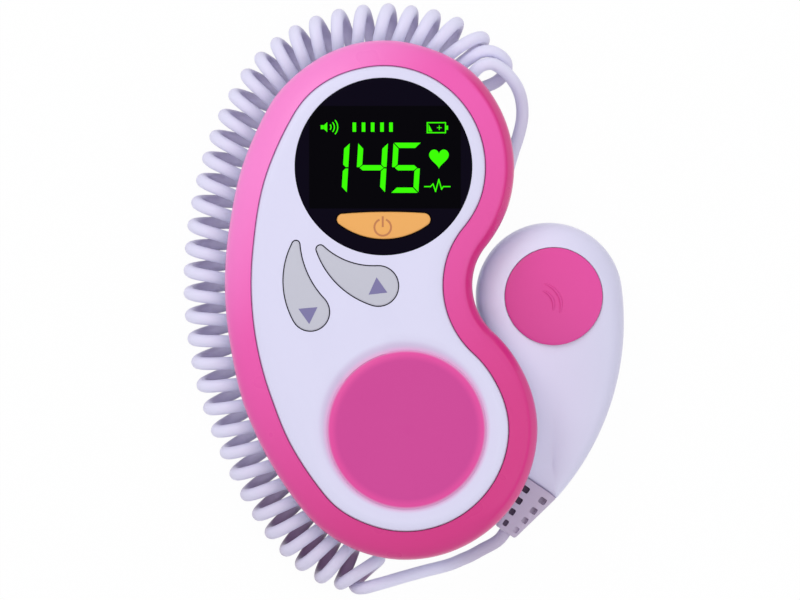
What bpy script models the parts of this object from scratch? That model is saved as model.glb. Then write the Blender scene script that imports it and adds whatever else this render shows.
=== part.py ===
"""Pocket fetal doppler monitor: a kidney-shaped main unit lying on its back, its
curly cord wound round the groove under the pink rim, and the ultrasound probe
tucked beside the waist. Metres, +Z up, front face up."""

import math

import bmesh
import bpy
from mathutils import Matrix, Vector

# Clearances shared by all pieces
GAP = 0.0003
CUT_OVERRUN = 0.002
MERGE = 0.00001

# Outline of the main unit: two lobes joined by a full flank and a drawn-in waist
TOP_LOBE = (-0.0030, 0.0351, 0.0346)
LOW_LOBE = (0.0029, -0.0353, 0.0350)
FLANK_RADIUS = 0.0970
WAIST_RADIUS = 0.0172
LOBE_POINTS = 20
FLANK_POINTS = 10
WAIST_POINTS = 8

# Rear case: a tray with a groove under its flange, where the cord and probe lie
GROOVE_DEPTH = 0.0110
CASE_SPLIT = 0.0236
CASE_WALL = 0.0020
CASE_OUTER_SHARES = (
    (1.20, 0.0), (1.09, 0.03), (1.02, 0.10), (1.0, 0.22), (0.98, 0.77),
    (0.927, 0.845), (0.745, 0.89), (0.20, 0.915), (0.09, 0.945), (0.06, 1.0),
)
CASE_INNER_SHARES = ((1.16, 1.0), (1.18, 0.85), (1.19, 0.15), (1.22, 0.105))
CASE_FLOOR_SHARE = 1.30

# Rim band: the pink hoop between the rear case and the front panel
BAND_WIDTH = 0.0066
BAND_HEIGHT = 0.0096
LEDGE_WIDTH = 0.0029
LEDGE_DROP = 0.0023
LEDGE_THICK = 0.0018
BAND_OUTER_SHARES = (
    (0.13, 0.0), (0.02, 0.07), (0.0, 0.20), (0.02, 0.43), (0.11, 0.61),
    (0.29, 0.75), (0.54, 0.86), (0.79, 0.94), (0.93, 0.985), (1.0, 1.0),
)
BAND_INNER_SHARES = ((0.63, 0.55), (0.39, 0.41), (0.36, 0.0))

# Front panel: a lightly crowned plate inside the band
PANEL_THICK = 0.0022
PANEL_EDGE_RISE = 0.0001
PANEL_CROWN = 0.0018
PANEL_RUN = 0.0130
PANEL_LIP = 0.0024
PANEL_TOP_SHARES = ((0.0, 0.0), (0.025, 0.35), (0.09, 0.55), (0.27, 0.78), (0.62, 0.95), (1.0, 1.0))

# Display lens and the display behind it
LENS_CENTRE = (-0.0031, 0.0353)
LENS_RADIUS = 0.0238
LENS_THICK = 0.0020
LENS_DROP = 0.0001
LENS_BEVEL = 0.0003
DISPLAY_SIZE = (0.0350, 0.0240)
DISPLAY_SHIFT = (0.0001, 0.0022)
DISPLAY_BEVEL = 0.0006

# Buttons, each an outline of two end circles and two arcs: bulging arcs have
# positive radii and drawn-in ones negative
POWER_ENDS = ((-0.0141, 0.0212, 0.0016), (0.0078, 0.0212, 0.0018))
POWER_ARCS = (0.0202, 0.1457)
DOWN_ENDS = ((-0.0267, 0.0143, 0.0010), (-0.0228, -0.0039, 0.0051))
DOWN_ARCS = (0.0223, -0.0246)
UP_ENDS = ((-0.0201, 0.0130, 0.0011), (-0.0045, 0.0031, 0.0054))
UP_ARCS = (0.0235, -0.0196)
BUTTON_GAP = 0.0003
BUTTON_RISE = 0.0005
BUTTON_ROUND = 0.0005
BUTTON_FLANGE = 0.0008
BUTTON_FLANGE_THICK = 0.0012
BUTTON_TRAVEL = 0.0006
END_POINTS = 9
SIDE_POINTS = 7

# Pink disc of the lower lobe
DISC_CENTRE = (0.0031, -0.0356)
DISC_RADIUS = 0.0214
DISC_EDGE_DROP = 0.0002
DISC_RISE = 0.0010
DISC_FLANGE = 0.0020
DISC_FLANGE_THICK = 0.0010
DISC_PROFILE_SHARES = ((0.0, 1.0), (0.45, 0.93), (0.75, 0.75), (0.92, 0.42), (0.985, 0.0), (1.0, -0.8))

# Main board and what stands on it
BOARD_INSET = 0.0090
BOARD_THICK = 0.0016
SWITCH_SIZE = 0.0060
SWITCH_BODY = 0.0032
SWITCH_PLUNGER_RADIUS = 0.0017
CHIP_SIZE = (0.0100, 0.0100, 0.0012)
CHIP_PLACE = (0.0010, -0.0120)
AMPLIFIER_SIZE = (0.0050, 0.0060, 0.0012)
AMPLIFIER_PLACE = (0.0120, -0.0240)
CONNECTOR_SIZE = (0.0060, 0.0040, 0.0032)
CONNECTOR_PLACE = (0.0130, 0.0180)

# Battery bay, cells, contacts and door
BAY_CENTRE = (-0.0100, 0.0033)
BAY_WALL = 0.0016
BAY_HEADROOM = 0.0015
CELL_RADIUS = 0.00725
CELL_LENGTH = 0.0490
CELL_NUB_RADIUS = 0.0027
CELL_NUB_LENGTH = 0.0015
CELL_SIDE_ROOM = 0.0004
CONTACT_THICK = 0.0005
CONTACT_ROOM = 0.00175
CONTACT_HEIGHT = 0.0110
CONTACT_BOSS_RADIUS = 0.0035
DOOR_THICK = 0.0017
DOOR_LAP = 0.0007
DOOR_CORNER = 0.0030
DOOR_GRIP_SIZE = (0.0120, 0.0012, 0.0006)
DOOR_GRIP_COUNT = 4
DOOR_GRIP_PITCH = 0.0026

# Loudspeaker on the case floor
SPEAKER_X = 0.0040
SPEAKER_SPACE = 0.0022
SPEAKER_RADIUS = 0.0140
SPEAKER_HEIGHT = 0.0060
SPEAKER_WALL = 0.0010
MAGNET_RADIUS = 0.0070
MAGNET_HEIGHT = 0.0040
SOUND_SLOT_WIDTH = 0.0018
SOUND_SLOT_PITCH = 0.0040
SOUND_SLOT_COUNT = 5

# Case screws, driven up through the flange into bosses of the band
CASE_SCREW_SEATS = ((TOP_LOBE, 118.0), (TOP_LOBE, 8.0), (LOW_LOBE, 222.0), (LOW_LOBE, 322.0))
SCREW_INSET = 0.0055
SCREW_RADIUS = 0.0009
SCREW_HEAD_RADIUS = 0.0021
SCREW_HEAD_HEIGHT = 0.0014
SCREW_BITE = 0.0036
SCREW_SLOT_WIDTH = 0.0005
SCREW_SLOT_DEPTH = 0.0006
BOSS_RADIUS = 0.0021

# Curly cord: the axis of its coil is a hand-chosen list of turn, x and y
CORD_DIAMETER = 0.0034
COIL_RADIUS = 0.0058
COIL_FIRST_TURN = 1.5
COIL_LAST_TURN = 38.81
COIL_POINTS_PER_TURN = 8
COIL_LEAN_FIRST_ANGLE = 30.0
COIL_LEAN_FIRST_TURNS = 2.0
COIL_LEAN_LAST_ANGLE = 22.0
COIL_LEAN_LAST_TURNS = 1.0
COIL_AXIS = (
    (1, 0.0252, 0.0612), (2, 0.0191, 0.0670), (3, 0.0136, 0.0696), (4, 0.0083, 0.0711),
    (5, 0.0030, 0.0719), (6, -0.0024, 0.0723), (7, -0.0084, 0.0719), (9, -0.0196, 0.0692),
    (11, -0.0286, 0.0642), (13, -0.0355, 0.0569), (15, -0.0410, 0.0469), (18, -0.0466, 0.0304),
    (21, -0.0495, 0.0129), (24, -0.0495, -0.0044), (27, -0.0465, -0.0223), (30, -0.0405, -0.0397),
    (33, -0.0322, -0.0556), (35, -0.0254, -0.0645), (37, -0.0172, -0.0707), (38, -0.0127, -0.0726),
    (39, -0.0080, -0.0738),
)
# Lead from the main unit: out of its gland, over and round the first open curl
MAIN_LEAD_ROUTE = (
    (0.0303, 0.0316, 0.0076), (0.0315, 0.0350, 0.0068), (0.0324, 0.0390, 0.0058),
    (0.0336, 0.0440, 0.0046), (0.0346, 0.0490, 0.0042), (0.0343, 0.0532, 0.0052),
    (0.0332, 0.0567, 0.0073), (0.0312, 0.0597, 0.0099), (0.0286, 0.0621, 0.0127),
    (0.0259, 0.0633, 0.0143), (0.0232, 0.0626, 0.0149), (0.0211, 0.0606, 0.0141),
    (0.0196, 0.0585, 0.0116), (0.0192, 0.0565, 0.0078), (0.0198, 0.0555, 0.0042),
    (0.0220, 0.0559, 0.0024), (0.0246, 0.0572, 0.0020), (0.0270, 0.0583, 0.0022),
    (0.0289, 0.0597, 0.0030), (0.0301, 0.0617, 0.0048), (0.0299, 0.0640, 0.0074),
    (0.0282, 0.0657, 0.0099), (0.0258, 0.0667, 0.0116), (0.0231, 0.0664, 0.0123),
    (0.0205, 0.0649, 0.0118),
)
# Lead to the probe: off the last curl, down to the table and up to the strain relief
PROBE_LEAD_ROUTE = (
    (-0.0090, -0.0789, 0.0042), (-0.0051, -0.0776, 0.0044), (-0.0016, -0.0766, 0.0036),
    (0.0024, -0.0755, 0.0026), (0.0062, -0.0744, 0.0020), (0.0103, -0.0733, 0.0019),
    (0.0141, -0.0723, 0.0025), (0.0176, -0.0710, 0.0037), (0.0206, -0.0697, 0.0054),
    (0.0236, -0.0682, 0.0071),
)
MAIN_LEAD_STEP = 0.0044
PROBE_LEAD_STEP = 0.0060
LEAST_CORD_GAP = 0.0004

# Gland of the cord on the main unit
GLAND_Y = 0.0295
GLAND_HEIGHT = 0.0080
GLAND_END_X = 0.0243
GLAND_RADIUS = 0.0034
GLAND_TIP_RADIUS = 0.0024
GLAND_NECK_RADIUS = 0.0026
GLAND_FLANGE_RADIUS = 0.0045
GLAND_FLANGE_THICK = 0.0012

# Probe: a teardrop about a straight spine, split into two shells
PROBE_HEAD = (0.0417, 0.0004, 0.01985)
PROBE_SPINE_SETBACK = 0.0072
PROBE_BACK_RADIUS = 0.0716
PROBE_BACK_START_ANGLE = 7.75
PROBE_BACK_END_ANGLE = -41.9
PROBE_SIDE_START_ANGLE = 192.5
PROBE_TAIL_WIDTH = 0.0127
PROBE_TAIL_ANGLE = 145.6
PROBE_SPLIT = 0.0080
PROBE_TOP_HEIGHT = 0.0120
PROBE_BOTTOM_HEIGHT = 0.0076
PROBE_TAIL_HEIGHT = 0.0056
PROBE_WALL = 0.0018
PROBE_ROUND_SHARE = 0.56
PROBE_SKIRT_SHARE = 0.15
PROBE_RING_SHARES = (0.0, 0.02, 0.07, 0.17, 0.33, 0.60)
PROBE_HEAD_POINTS = 16
PROBE_SIDE_POINTS = 6
PROBE_TAIL_POINTS = 2
PROBE_DISC_CENTRE = (0.0429, 0.0003)
PROBE_DISC_RADIUS = 0.0132
PROBE_DISC_SEAT = 0.0017
PROBE_DISC_EDGE = 0.0007
PROBE_DISC_RISE = 0.0002
WINDOW_RADIUS = 0.0125
WINDOW_FLANGE = 0.0020
WINDOW_SEAT = 0.0033
WINDOW_FLANGE_THICK = 0.0008
CRYSTAL_RADIUS = 0.0100
CRYSTAL_THICK = 0.0008
CRYSTAL_SPLIT = 0.0012
BACKING_RADIUS = 0.0110
BACKING_THICK = 0.0034
PROBE_BOARD_RADIUS = 0.0140
PROBE_BOARD_THICK = 0.0012
PROBE_SCREW_SHARES = (0.44, 0.82)
PROBE_SCREW_HEAD_DEPTH = 0.0030
PROBE_SCREW_BITE = 0.0030
PROBE_BOSS_RADIUS = 0.0030

# Strain relief between the probe and the cord, with rows of windows
RELIEF_LENGTH = 0.0151
RELIEF_END_WIDTH = 0.0064
RELIEF_HEIGHT = 0.0096
RELIEF_END_HEIGHT = 0.0058
RELIEF_ROUND_SHARE = 0.5
RELIEF_POINTS = 20
RELIEF_RING_SHARES = (0.0, 0.03, 0.35, 0.70, 0.97, 1.0)
RELIEF_INSET_SHARES = (0.90, 1.0, 1.0, 1.0, 1.0, 0.88)
RELIEF_ROWS = 4
RELIEF_FIRST_SHARE = 0.11
RELIEF_PITCH_SHARE = 0.235
RELIEF_WINDOW_SHARE = 0.11
RELIEF_CORE = 0.0048

# Heights that follow from the sizes above
BAND_BASE = CASE_SPLIT + GAP
BAND_TOP = BAND_BASE + BAND_HEIGHT
LEDGE_TOP = BAND_TOP - LEDGE_DROP
PANEL_INSET = BAND_WIDTH + GAP
PANEL_BASE = LEDGE_TOP + GAP
PANEL_EDGE = BAND_TOP - PANEL_EDGE_RISE
PANEL_TOP = PANEL_EDGE + PANEL_CROWN
PANEL_UNDER = PANEL_TOP - PANEL_THICK
BOARD_BASE = CASE_SPLIT + GAP
BOARD_TOP = BOARD_BASE + BOARD_THICK
LENS_TOP = PANEL_TOP - LENS_DROP
LENS_BASE = LENS_TOP - LENS_THICK
BUTTON_FLANGE_TOP = PANEL_UNDER - GAP
BUTTON_BASE = BUTTON_FLANGE_TOP - BUTTON_FLANGE_THICK
SWITCH_TOP = BUTTON_BASE - BUTTON_TRAVEL - GAP
CORD_RADIUS = CORD_DIAMETER / 2
SPEAKER_BASE = CASE_WALL + GAP
CELL_REST = DOOR_THICK + GAP
BAY_HEIGHT = CELL_REST + 2 * CELL_RADIUS + BAY_HEADROOM
BAY_WIDTH = 4 * CELL_RADIUS + 2 * GAP + 2 * CELL_SIDE_ROOM
BAY_LENGTH = CELL_LENGTH + CELL_NUB_LENGTH + 2 * CONTACT_ROOM
SPEAKER_Y = BAY_CENTRE[1] - BAY_LENGTH / 2 - BAY_WALL - SPEAKER_SPACE - SPEAKER_RADIUS
SPEAKER_CENTRE = (SPEAKER_X, SPEAKER_Y)
TOP_HEIGHT_OF_PROBE = PROBE_SPLIT + PROBE_TOP_HEIGHT

# Colours as red, green and blue
WHITE = (0.80, 0.79, 0.90)
PINK = (0.86, 0.13, 0.42)
DISC_PINK = (0.72, 0.12, 0.36)
BLACK = (0.01, 0.008, 0.015)
ORANGE = (0.86, 0.45, 0.13)
BUTTON_GREY = (0.56, 0.56, 0.62)
CORD_LILAC = (0.62, 0.58, 0.74)
RELIEF_LILAC = (0.48, 0.44, 0.56)
BOARD_GREEN = (0.02, 0.22, 0.08)
STEEL = (0.62, 0.62, 0.64)
DARK = (0.04, 0.04, 0.045)
CELL_BLUE = (0.05, 0.12, 0.40)
PAPER = (0.10, 0.09, 0.08)
CERAMIC = (0.78, 0.74, 0.66)
WINDOW_GREY = (0.60, 0.60, 0.66)


def clear_scene():
    for obj in list(bpy.data.objects):
        bpy.data.objects.remove(obj, do_unlink=True)


clear_scene()
PARTS = bpy.data.collections.new("fetal_doppler_monitor")
CUTTERS = bpy.data.collections.new("cutters")
bpy.context.scene.collection.children.link(PARTS)
bpy.context.scene.collection.children.link(CUTTERS)


def make_anchor():
    """An empty that puts the middle of the whole outline over the origin."""
    left = flank_centre()[0] - FLANK_RADIUS
    right = back_centre().x + PROBE_BACK_RADIUS
    top = TOP_LOBE[1] + TOP_LOBE[2]
    bottom = LOW_LOBE[1] - LOW_LOBE[2]
    anchor = bpy.data.objects.new("anchor", None)
    PARTS.objects.link(anchor)
    anchor.location = (-(left + right) / 2, -(top + bottom) / 2, 0.0)
    return anchor


def make_material(name, colour, roughness, metallic):
    material = bpy.data.materials.new(name)
    material.use_nodes = True
    shader = material.node_tree.nodes["Principled BSDF"]
    shader.inputs["Base Color"].default_value = (*colour, 1.0)
    shader.inputs["Roughness"].default_value = roughness
    shader.inputs["Metallic"].default_value = metallic
    return material


def add_part(name, mesh, colour, roughness=0.4, metallic=0.0, smooth=True, origin=(0.0, 0.0, 0.0)):
    """Puts a mesh in the parts collection under the anchor, with its own material."""
    mesh.transform(Matrix.Translation(-Vector(origin)))
    if smooth:
        mesh.shade_smooth()
        mesh.set_sharp_from_angle(angle=math.radians(35))
    mesh.materials.append(make_material(name, colour, roughness, metallic))
    part = bpy.data.objects.new(name, mesh)
    PARTS.objects.link(part)
    part.parent = ANCHOR
    part.location = origin
    return part


def add_cutter(name, mesh):
    cutter = bpy.data.objects.new(name, mesh)
    CUTTERS.objects.link(cutter)
    cutter.parent = ANCHOR
    cutter.hide_render = True
    cutter.display_type = "WIRE"
    return cutter


def combine(part, tool_mesh, operation="DIFFERENCE"):
    """Cuts a mesh out of a part, or joins it on, with an exact boolean."""
    tool = add_cutter(f"{part.name}_{operation.lower()}_{len(part.modifiers)}", tool_mesh)
    modifier = part.modifiers.new(tool.name, "BOOLEAN")
    modifier.object = tool
    modifier.operation = operation
    modifier.solver = "EXACT"


def mesh_from(bm):
    mesh = bpy.data.meshes.new("shape")
    bm.to_mesh(mesh)
    bm.free()
    return mesh


def apex(first, first_reach, second, second_reach, side):
    """The point at given distances from two others, on one side of their line."""
    along = Vector(first[:2]) - Vector(second[:2])
    spread = along.length
    along.normalize()
    across = Vector((along.y, -along.x)) * side
    run = (second_reach ** 2 - first_reach ** 2 + spread ** 2) / (2 * spread)
    rise = math.sqrt(second_reach ** 2 - run ** 2)
    return Vector(second[:2]) + along * run + across * rise


def arc_centre(first, second, radius, side):
    """Centre of the arc that touches both end circles on the given side."""
    if radius > 0:
        return apex(first, radius - first[2], second, radius - second[2], -side)
    return apex(first, first[2] - radius, second, second[2] - radius, side)


def flank_centre():
    return arc_centre(TOP_LOBE, LOW_LOBE, FLANK_RADIUS, -1)


def direction(tip, base):
    offset = Vector(tip) - Vector(base)
    return math.atan2(offset.y, offset.x)


def sweep(centre, radius, start, end, count):
    """Points on an arc from start up to, but not at, end."""
    steps = [start + (end - start) * index / count for index in range(count)]
    return [Vector((centre[0] + radius * math.cos(a), centre[1] + radius * math.sin(a))) for a in steps]


def turn_after(angle, start):
    return start + (angle - start) % (2 * math.pi)


def turn_before(angle, start):
    return start - (start - angle) % (2 * math.pi)


def arc_outline(ends, arcs, inset, end_points, left_points, right_points):
    """Closed outline of two end circles and two tangent arcs, moved inwards by inset.
    The left arc lies to the left when looking from the second circle to the first."""
    first, second = ends
    left_radius, right_radius = arcs
    left = arc_centre(first, second, left_radius, -1)
    right = arc_centre(first, second, right_radius, 1)

    def contact(circle, centre, radius):
        angle = direction(circle[:2], centre)
        return angle if radius > 0 else angle + math.pi

    first_right = contact(first, right, right_radius)
    first_left = turn_after(contact(first, left, left_radius), first_right)
    second_left = turn_after(contact(second, left, left_radius), 0)
    second_right = turn_after(contact(second, right, right_radius), second_left)
    points = sweep(first[:2], first[2] - inset, first_right, first_left, end_points)
    points += bridge_arc(left, left_radius, inset, first_left, second_left, left_points)
    points += sweep(second[:2], second[2] - inset, second_left, second_right, end_points)
    points += bridge_arc(right, right_radius, inset, second_right, first_right, right_points)
    return points


def bridge_arc(centre, radius, inset, start, end, count):
    if radius > 0:
        return sweep(centre, radius - inset, start, turn_after(end, start), count)
    start, end = start + math.pi, end + math.pi
    return sweep(centre, -radius + inset, start, turn_before(end, start), count)


def unit_outline(inset):
    return arc_outline((TOP_LOBE, LOW_LOBE), (FLANK_RADIUS, -WAIST_RADIUS), inset,
                       LOBE_POINTS, FLANK_POINTS, WAIST_POINTS)


def button_outline(ends, arcs, inset):
    return arc_outline(ends, arcs, inset, END_POINTS, SIDE_POINTS, SIDE_POINTS)


def ring_loop(bm, ring):
    """A closed loop of edges through points, as its vertices in order."""
    verts = [bm.verts.new(point) for point in ring]
    for pair in zip(verts, verts[1:] + verts[:1]):
        bm.edges.new(pair)
    return verts


def grow(bm, verts, ring):
    """Extrudes a loop onto the next ring, point for point."""
    edges = [bm.edges.get(pair) for pair in zip(verts, verts[1:] + verts[:1])]
    made = bmesh.ops.extrude_edge_only(bm, edges=edges)["geom"]
    fresh = {item for item in made if isinstance(item, bmesh.types.BMVert)}
    following = []
    for vert, point in zip(verts, ring):
        twin = next(edge.other_vert(vert) for edge in vert.link_edges if edge.other_vert(vert) in fresh)
        twin.co = point
        following.append(twin)
    return following


def cap(bm, verts):
    edges = [bm.edges.get(pair) for pair in zip(verts, verts[1:] + verts[:1])]
    bmesh.ops.contextual_create(bm, geom=edges)


def loft(rings, around=False):
    """A solid over rings of equal count, in order: a closed hoop, or capped at both ends."""
    bm = bmesh.new()
    first = ring_loop(bm, rings[0])
    last = first
    for ring in rings[1:]:
        last = grow(bm, last, ring)
    if around:
        grow(bm, last, rings[0])
        bmesh.ops.remove_doubles(bm, verts=bm.verts, dist=MERGE)
    else:
        cap(bm, first)
        cap(bm, last)
    bm.normal_update()
    bmesh.ops.recalc_face_normals(bm, faces=bm.faces)
    return mesh_from(bm)


def level(outline, height):
    return [Vector((point.x, point.y, height)) for point in outline]


def prism(outline, low, high):
    return loft([level(outline, low), level(outline, high)])


def box_mesh(size, centre):
    bm = bmesh.new()
    bmesh.ops.create_cube(bm, size=1.0)
    bmesh.ops.scale(bm, vec=size, verts=bm.verts)
    bmesh.ops.translate(bm, vec=centre, verts=bm.verts)
    return mesh_from(bm)


def rod_mesh(radius, low, high, centre, segments=24):
    """An upright cylinder between two heights."""
    bm = bmesh.new()
    bmesh.ops.create_cone(bm, cap_ends=True, segments=segments, radius1=radius, radius2=radius,
                          depth=high - low)
    bmesh.ops.translate(bm, vec=(centre[0], centre[1], (high + low) / 2), verts=bm.verts)
    return mesh_from(bm)


def rounded_box(name, size, centre, bevel, colour, **finish):
    part = add_part(name, box_mesh(size, (0, 0, 0)), colour, **finish)
    part.location = centre
    modifier = part.modifiers.new("edges", "BEVEL")
    modifier.width = bevel
    modifier.segments = 2
    return part


def turned_part(name, profile, centre, colour, steps=40, **finish):
    """A profile of radius and height, top to bottom, turned about an upright axis."""
    mesh = bpy.data.meshes.new(name)
    verts = [(radius, 0.0, height) for radius, height in profile]
    mesh.from_pydata(verts, [(i, i + 1) for i in range(len(verts) - 1)], [])
    part = add_part(name, mesh, colour, smooth=False, **finish)
    part.location = (centre[0], centre[1], 0.0)
    modifier = part.modifiers.new("turn", "SCREW")
    modifier.angle = 2 * math.pi
    modifier.steps = steps
    modifier.render_steps = steps
    modifier.use_merge_vertices = True
    modifier.merge_threshold = MERGE
    modifier.use_smooth_shade = True
    return part


def ring_part(name, profile, centre, colour, steps=40, **finish):
    """A closed profile turned about an upright axis that it doesn't touch."""
    return turned_part(name, tuple(profile) + (profile[0],), centre, colour, steps, **finish)


def spline_point(keys, values, key):
    """Smooth curve through vectors at unevenly spaced keys."""
    last = len(keys) - 1

    def slope(i):
        if i == 0:
            return (values[1] - values[0]) / (keys[1] - keys[0])
        if i == last:
            return (values[i] - values[i - 1]) / (keys[i] - keys[i - 1])
        before, after = keys[i] - keys[i - 1], keys[i + 1] - keys[i]
        steep_before = (values[i] - values[i - 1]) / before
        steep_after = (values[i + 1] - values[i]) / after
        return (steep_before * after + steep_after * before) / (before + after)

    i = 0
    while i < last - 1 and key > keys[i + 1]:
        i += 1
    width = keys[i + 1] - keys[i]
    u = (key - keys[i]) / width
    start = values[i] * (2 * u ** 3 - 3 * u ** 2 + 1) + slope(i) * (width * (u ** 3 - 2 * u ** 2 + u))
    return start + values[i + 1] * (3 * u ** 2 - 2 * u ** 3) + slope(i + 1) * (width * (u ** 3 - u ** 2))


def coil_axis(turn):
    keys = [row[0] for row in COIL_AXIS]
    values = [Vector(row[1:]) for row in COIL_AXIS]
    return spline_point(keys, values, turn)


def coil_point(turn):
    """A point of the coil's centreline, whose loops lean over at both ends."""
    nudge = 1 / COIL_POINTS_PER_TURN
    heading = (coil_axis(turn + nudge) - coil_axis(turn - nudge)).normalized()
    outward = Vector((heading.y, -heading.x))
    lean = math.radians(
        COIL_LEAN_FIRST_ANGLE * math.exp((COIL_AXIS[0][0] - turn) / COIL_LEAN_FIRST_TURNS)
        + COIL_LEAN_LAST_ANGLE * math.exp((turn - COIL_LAST_TURN) / COIL_LEAN_LAST_TURNS))
    sideways = outward * math.cos(lean) - heading * math.sin(lean)
    phase = 2 * math.pi * turn
    place = coil_axis(turn) + sideways * (COIL_RADIUS * math.cos(phase))
    middle = COIL_RADIUS + CORD_RADIUS + GAP / 2
    return Vector((place.x, place.y, middle + COIL_RADIUS * math.sin(phase)))


def coil_centreline():
    turns = COIL_LAST_TURN - COIL_FIRST_TURN
    steps = round(turns * COIL_POINTS_PER_TURN)
    return [coil_point(COIL_FIRST_TURN + turns * i / steps) for i in range(steps + 1)]


def even_points(route, step):
    """Points about one step apart along the smooth curve through a route."""
    reach = [0.0]
    for before, after in zip(route, route[1:]):
        reach.append(reach[-1] + (after - before).length)
    count = max(2, round(reach[-1] / step))
    return [spline_point(reach, route, reach[-1] * i / count) for i in range(count + 1)]


def main_lead_centreline(coil):
    """From the gland's face to the coil's first point, straight at both ends."""
    start = Vector((GLAND_END_X + GAP, GLAND_Y, GLAND_HEIGHT))
    leave = start + Vector((CORD_DIAMETER, 0, 0))
    heading = (coil[1] - coil[0]).normalized()
    end = coil[0] - heading * GAP
    route = [leave] + [Vector(point) for point in MAIN_LEAD_ROUTE] + [end - heading * CORD_DIAMETER]
    return [start] + even_points(route, MAIN_LEAD_STEP) + [end]


def probe_lead_centreline(coil):
    """From the coil's last point to the face of the probe's strain relief."""
    heading = (coil[-1] - coil[-2]).normalized()
    start = coil[-1] + heading * GAP
    axis = relief_axis()
    end = relief_start() + axis * (RELIEF_LENGTH + GAP)
    route = [start + heading * CORD_RADIUS] + [Vector(point) for point in PROBE_LEAD_ROUTE]
    route.append(end + axis * CORD_DIAMETER)
    return [start] + even_points(route, PROBE_LEAD_STEP) + [end]


def least_gap(points):
    """Smallest free space between stretches that lie well apart along the cord."""
    reach = [0.0]
    for before, after in zip(points, points[1:]):
        reach.append(reach[-1] + (after - before).length)
    apart = 3 * CORD_DIAMETER
    least = reach[-1]
    for i, point in enumerate(points):
        for j in range(i + 1, len(points)):
            if reach[j] - reach[i] > apart:
                least = min(least, (points[j] - point).length)
    return least - CORD_DIAMETER


def tube_part(name, points, resolution, colour):
    curve = bpy.data.curves.new(name, "CURVE")
    curve.dimensions = "3D"
    curve.bevel_depth = CORD_RADIUS
    curve.bevel_resolution = resolution
    curve.use_fill_caps = True
    spline = curve.splines.new("POLY")
    spline.points.add(len(points) - 1)
    for place, point in zip(spline.points, points):
        place.co = (*point, 1.0)
    curve.materials.append(make_material(name, colour, 0.45, 0.0))
    part = bpy.data.objects.new(name, curve)
    PARTS.objects.link(part)
    part.parent = ANCHOR
    return part


def back_centre():
    """Centre of the large arc along the probe's outer side."""
    angle = math.radians(PROBE_BACK_START_ANGLE)
    reach = PROBE_BACK_RADIUS - PROBE_HEAD[2]
    return Vector((PROBE_HEAD[0] - reach * math.cos(angle), PROBE_HEAD[1] - reach * math.sin(angle)))


def tail_corners():
    """Outer and inner ends of the flat tail."""
    angle = math.radians(PROBE_BACK_END_ANGLE)
    outer = back_centre() + Vector((math.cos(angle), math.sin(angle))) * PROBE_BACK_RADIUS
    slant = math.radians(PROBE_TAIL_ANGLE)
    inner = outer + Vector((math.cos(slant), math.sin(slant))) * PROBE_TAIL_WIDTH
    return outer, inner


def spine_end():
    """Where the shells' rings draw together at the tail."""
    outer, inner = tail_corners()
    middle = (outer + inner) / 2
    return middle - relief_axis().to_2d() * PROBE_SPINE_SETBACK


def relief_axis():
    slant = math.radians(PROBE_TAIL_ANGLE)
    return Vector((-math.sin(slant), math.cos(slant), 0.0))


def relief_start():
    outer, inner = tail_corners()
    middle = (outer + inner) / 2
    return Vector((middle.x, middle.y, PROBE_SPLIT)) + relief_axis() * GAP


def probe_outline():
    """Outline points, each with its share along the spine from head to tail."""
    head = Vector(PROBE_HEAD[:2])
    outer, inner = tail_corners()
    start, end = math.radians(PROBE_BACK_START_ANGLE), math.radians(PROBE_SIDE_START_ANGLE)
    points = [(point, 0.0) for point in sweep(head, PROBE_HEAD[2], start, end, PROBE_HEAD_POINTS)]
    side = head + Vector((math.cos(end), math.sin(end))) * PROBE_HEAD[2]
    for i in range(PROBE_SIDE_POINTS):
        share = i / PROBE_SIDE_POINTS
        points.append((side.lerp(inner, share), share))
    for i in range(PROBE_TAIL_POINTS + 1):
        points.append((inner.lerp(outer, i / (PROBE_TAIL_POINTS + 1)), 1.0))
    back_end = math.radians(PROBE_BACK_END_ANGLE)
    back = sweep(back_centre(), PROBE_BACK_RADIUS, back_end, start, PROBE_SIDE_POINTS)
    for i, point in enumerate(back):
        points.append((point, 1.0 - i / PROBE_SIDE_POINTS))
    return points


def probe_rings(head_height, upward):
    """Rings that draw in to the spine while the shell rounds over."""
    head, tail = Vector(PROBE_HEAD[:2]), spine_end()
    base = PROBE_SPLIT + GAP / 2 * upward
    stages = [(0.0, 0.0), (0.0, PROBE_SKIRT_SHARE)]
    for draw in PROBE_RING_SHARES[1:]:
        power = 2 / PROBE_ROUND_SHARE
        stages.append((draw, (1 - (1 - draw) ** power) ** (1 / power)))
    rings = []
    for draw, fullness in stages:
        ring = []
        for point, share in probe_outline():
            spine = head.lerp(tail, share)
            place = point.lerp(spine, draw)
            height = head_height + (PROBE_TAIL_HEIGHT - head_height) * share
            ring.append(Vector((place.x, place.y, base + upward * (height - GAP / 2) * fullness)))
        rings.append(ring)
    return rings


def open_shell(rings):
    """An open surface over the rings, closed only at the innermost one."""
    bm = bmesh.new()
    last = ring_loop(bm, rings[0])
    for ring in rings[1:]:
        last = grow(bm, last, ring)
    cap(bm, last)
    bmesh.ops.triangulate(bm, faces=[face for face in bm.faces if len(face.verts) > 4])
    bm.normal_update()
    bmesh.ops.recalc_face_normals(bm, faces=bm.faces)
    return bm


def shell_part(name, rings, upward, colour):
    bm = open_shell(rings)
    if sum(face.normal.z for face in bm.faces) * upward < 0:
        bmesh.ops.reverse_faces(bm, faces=bm.faces)
    part = add_part(name, mesh_from(bm), colour, roughness=0.35, origin=(*PROBE_HEAD[:2], PROBE_SPLIT))
    wall = part.modifiers.new("wall", "SOLIDIFY")
    wall.thickness = PROBE_WALL
    wall.offset = -1
    wall.use_even_offset = True
    return part


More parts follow.
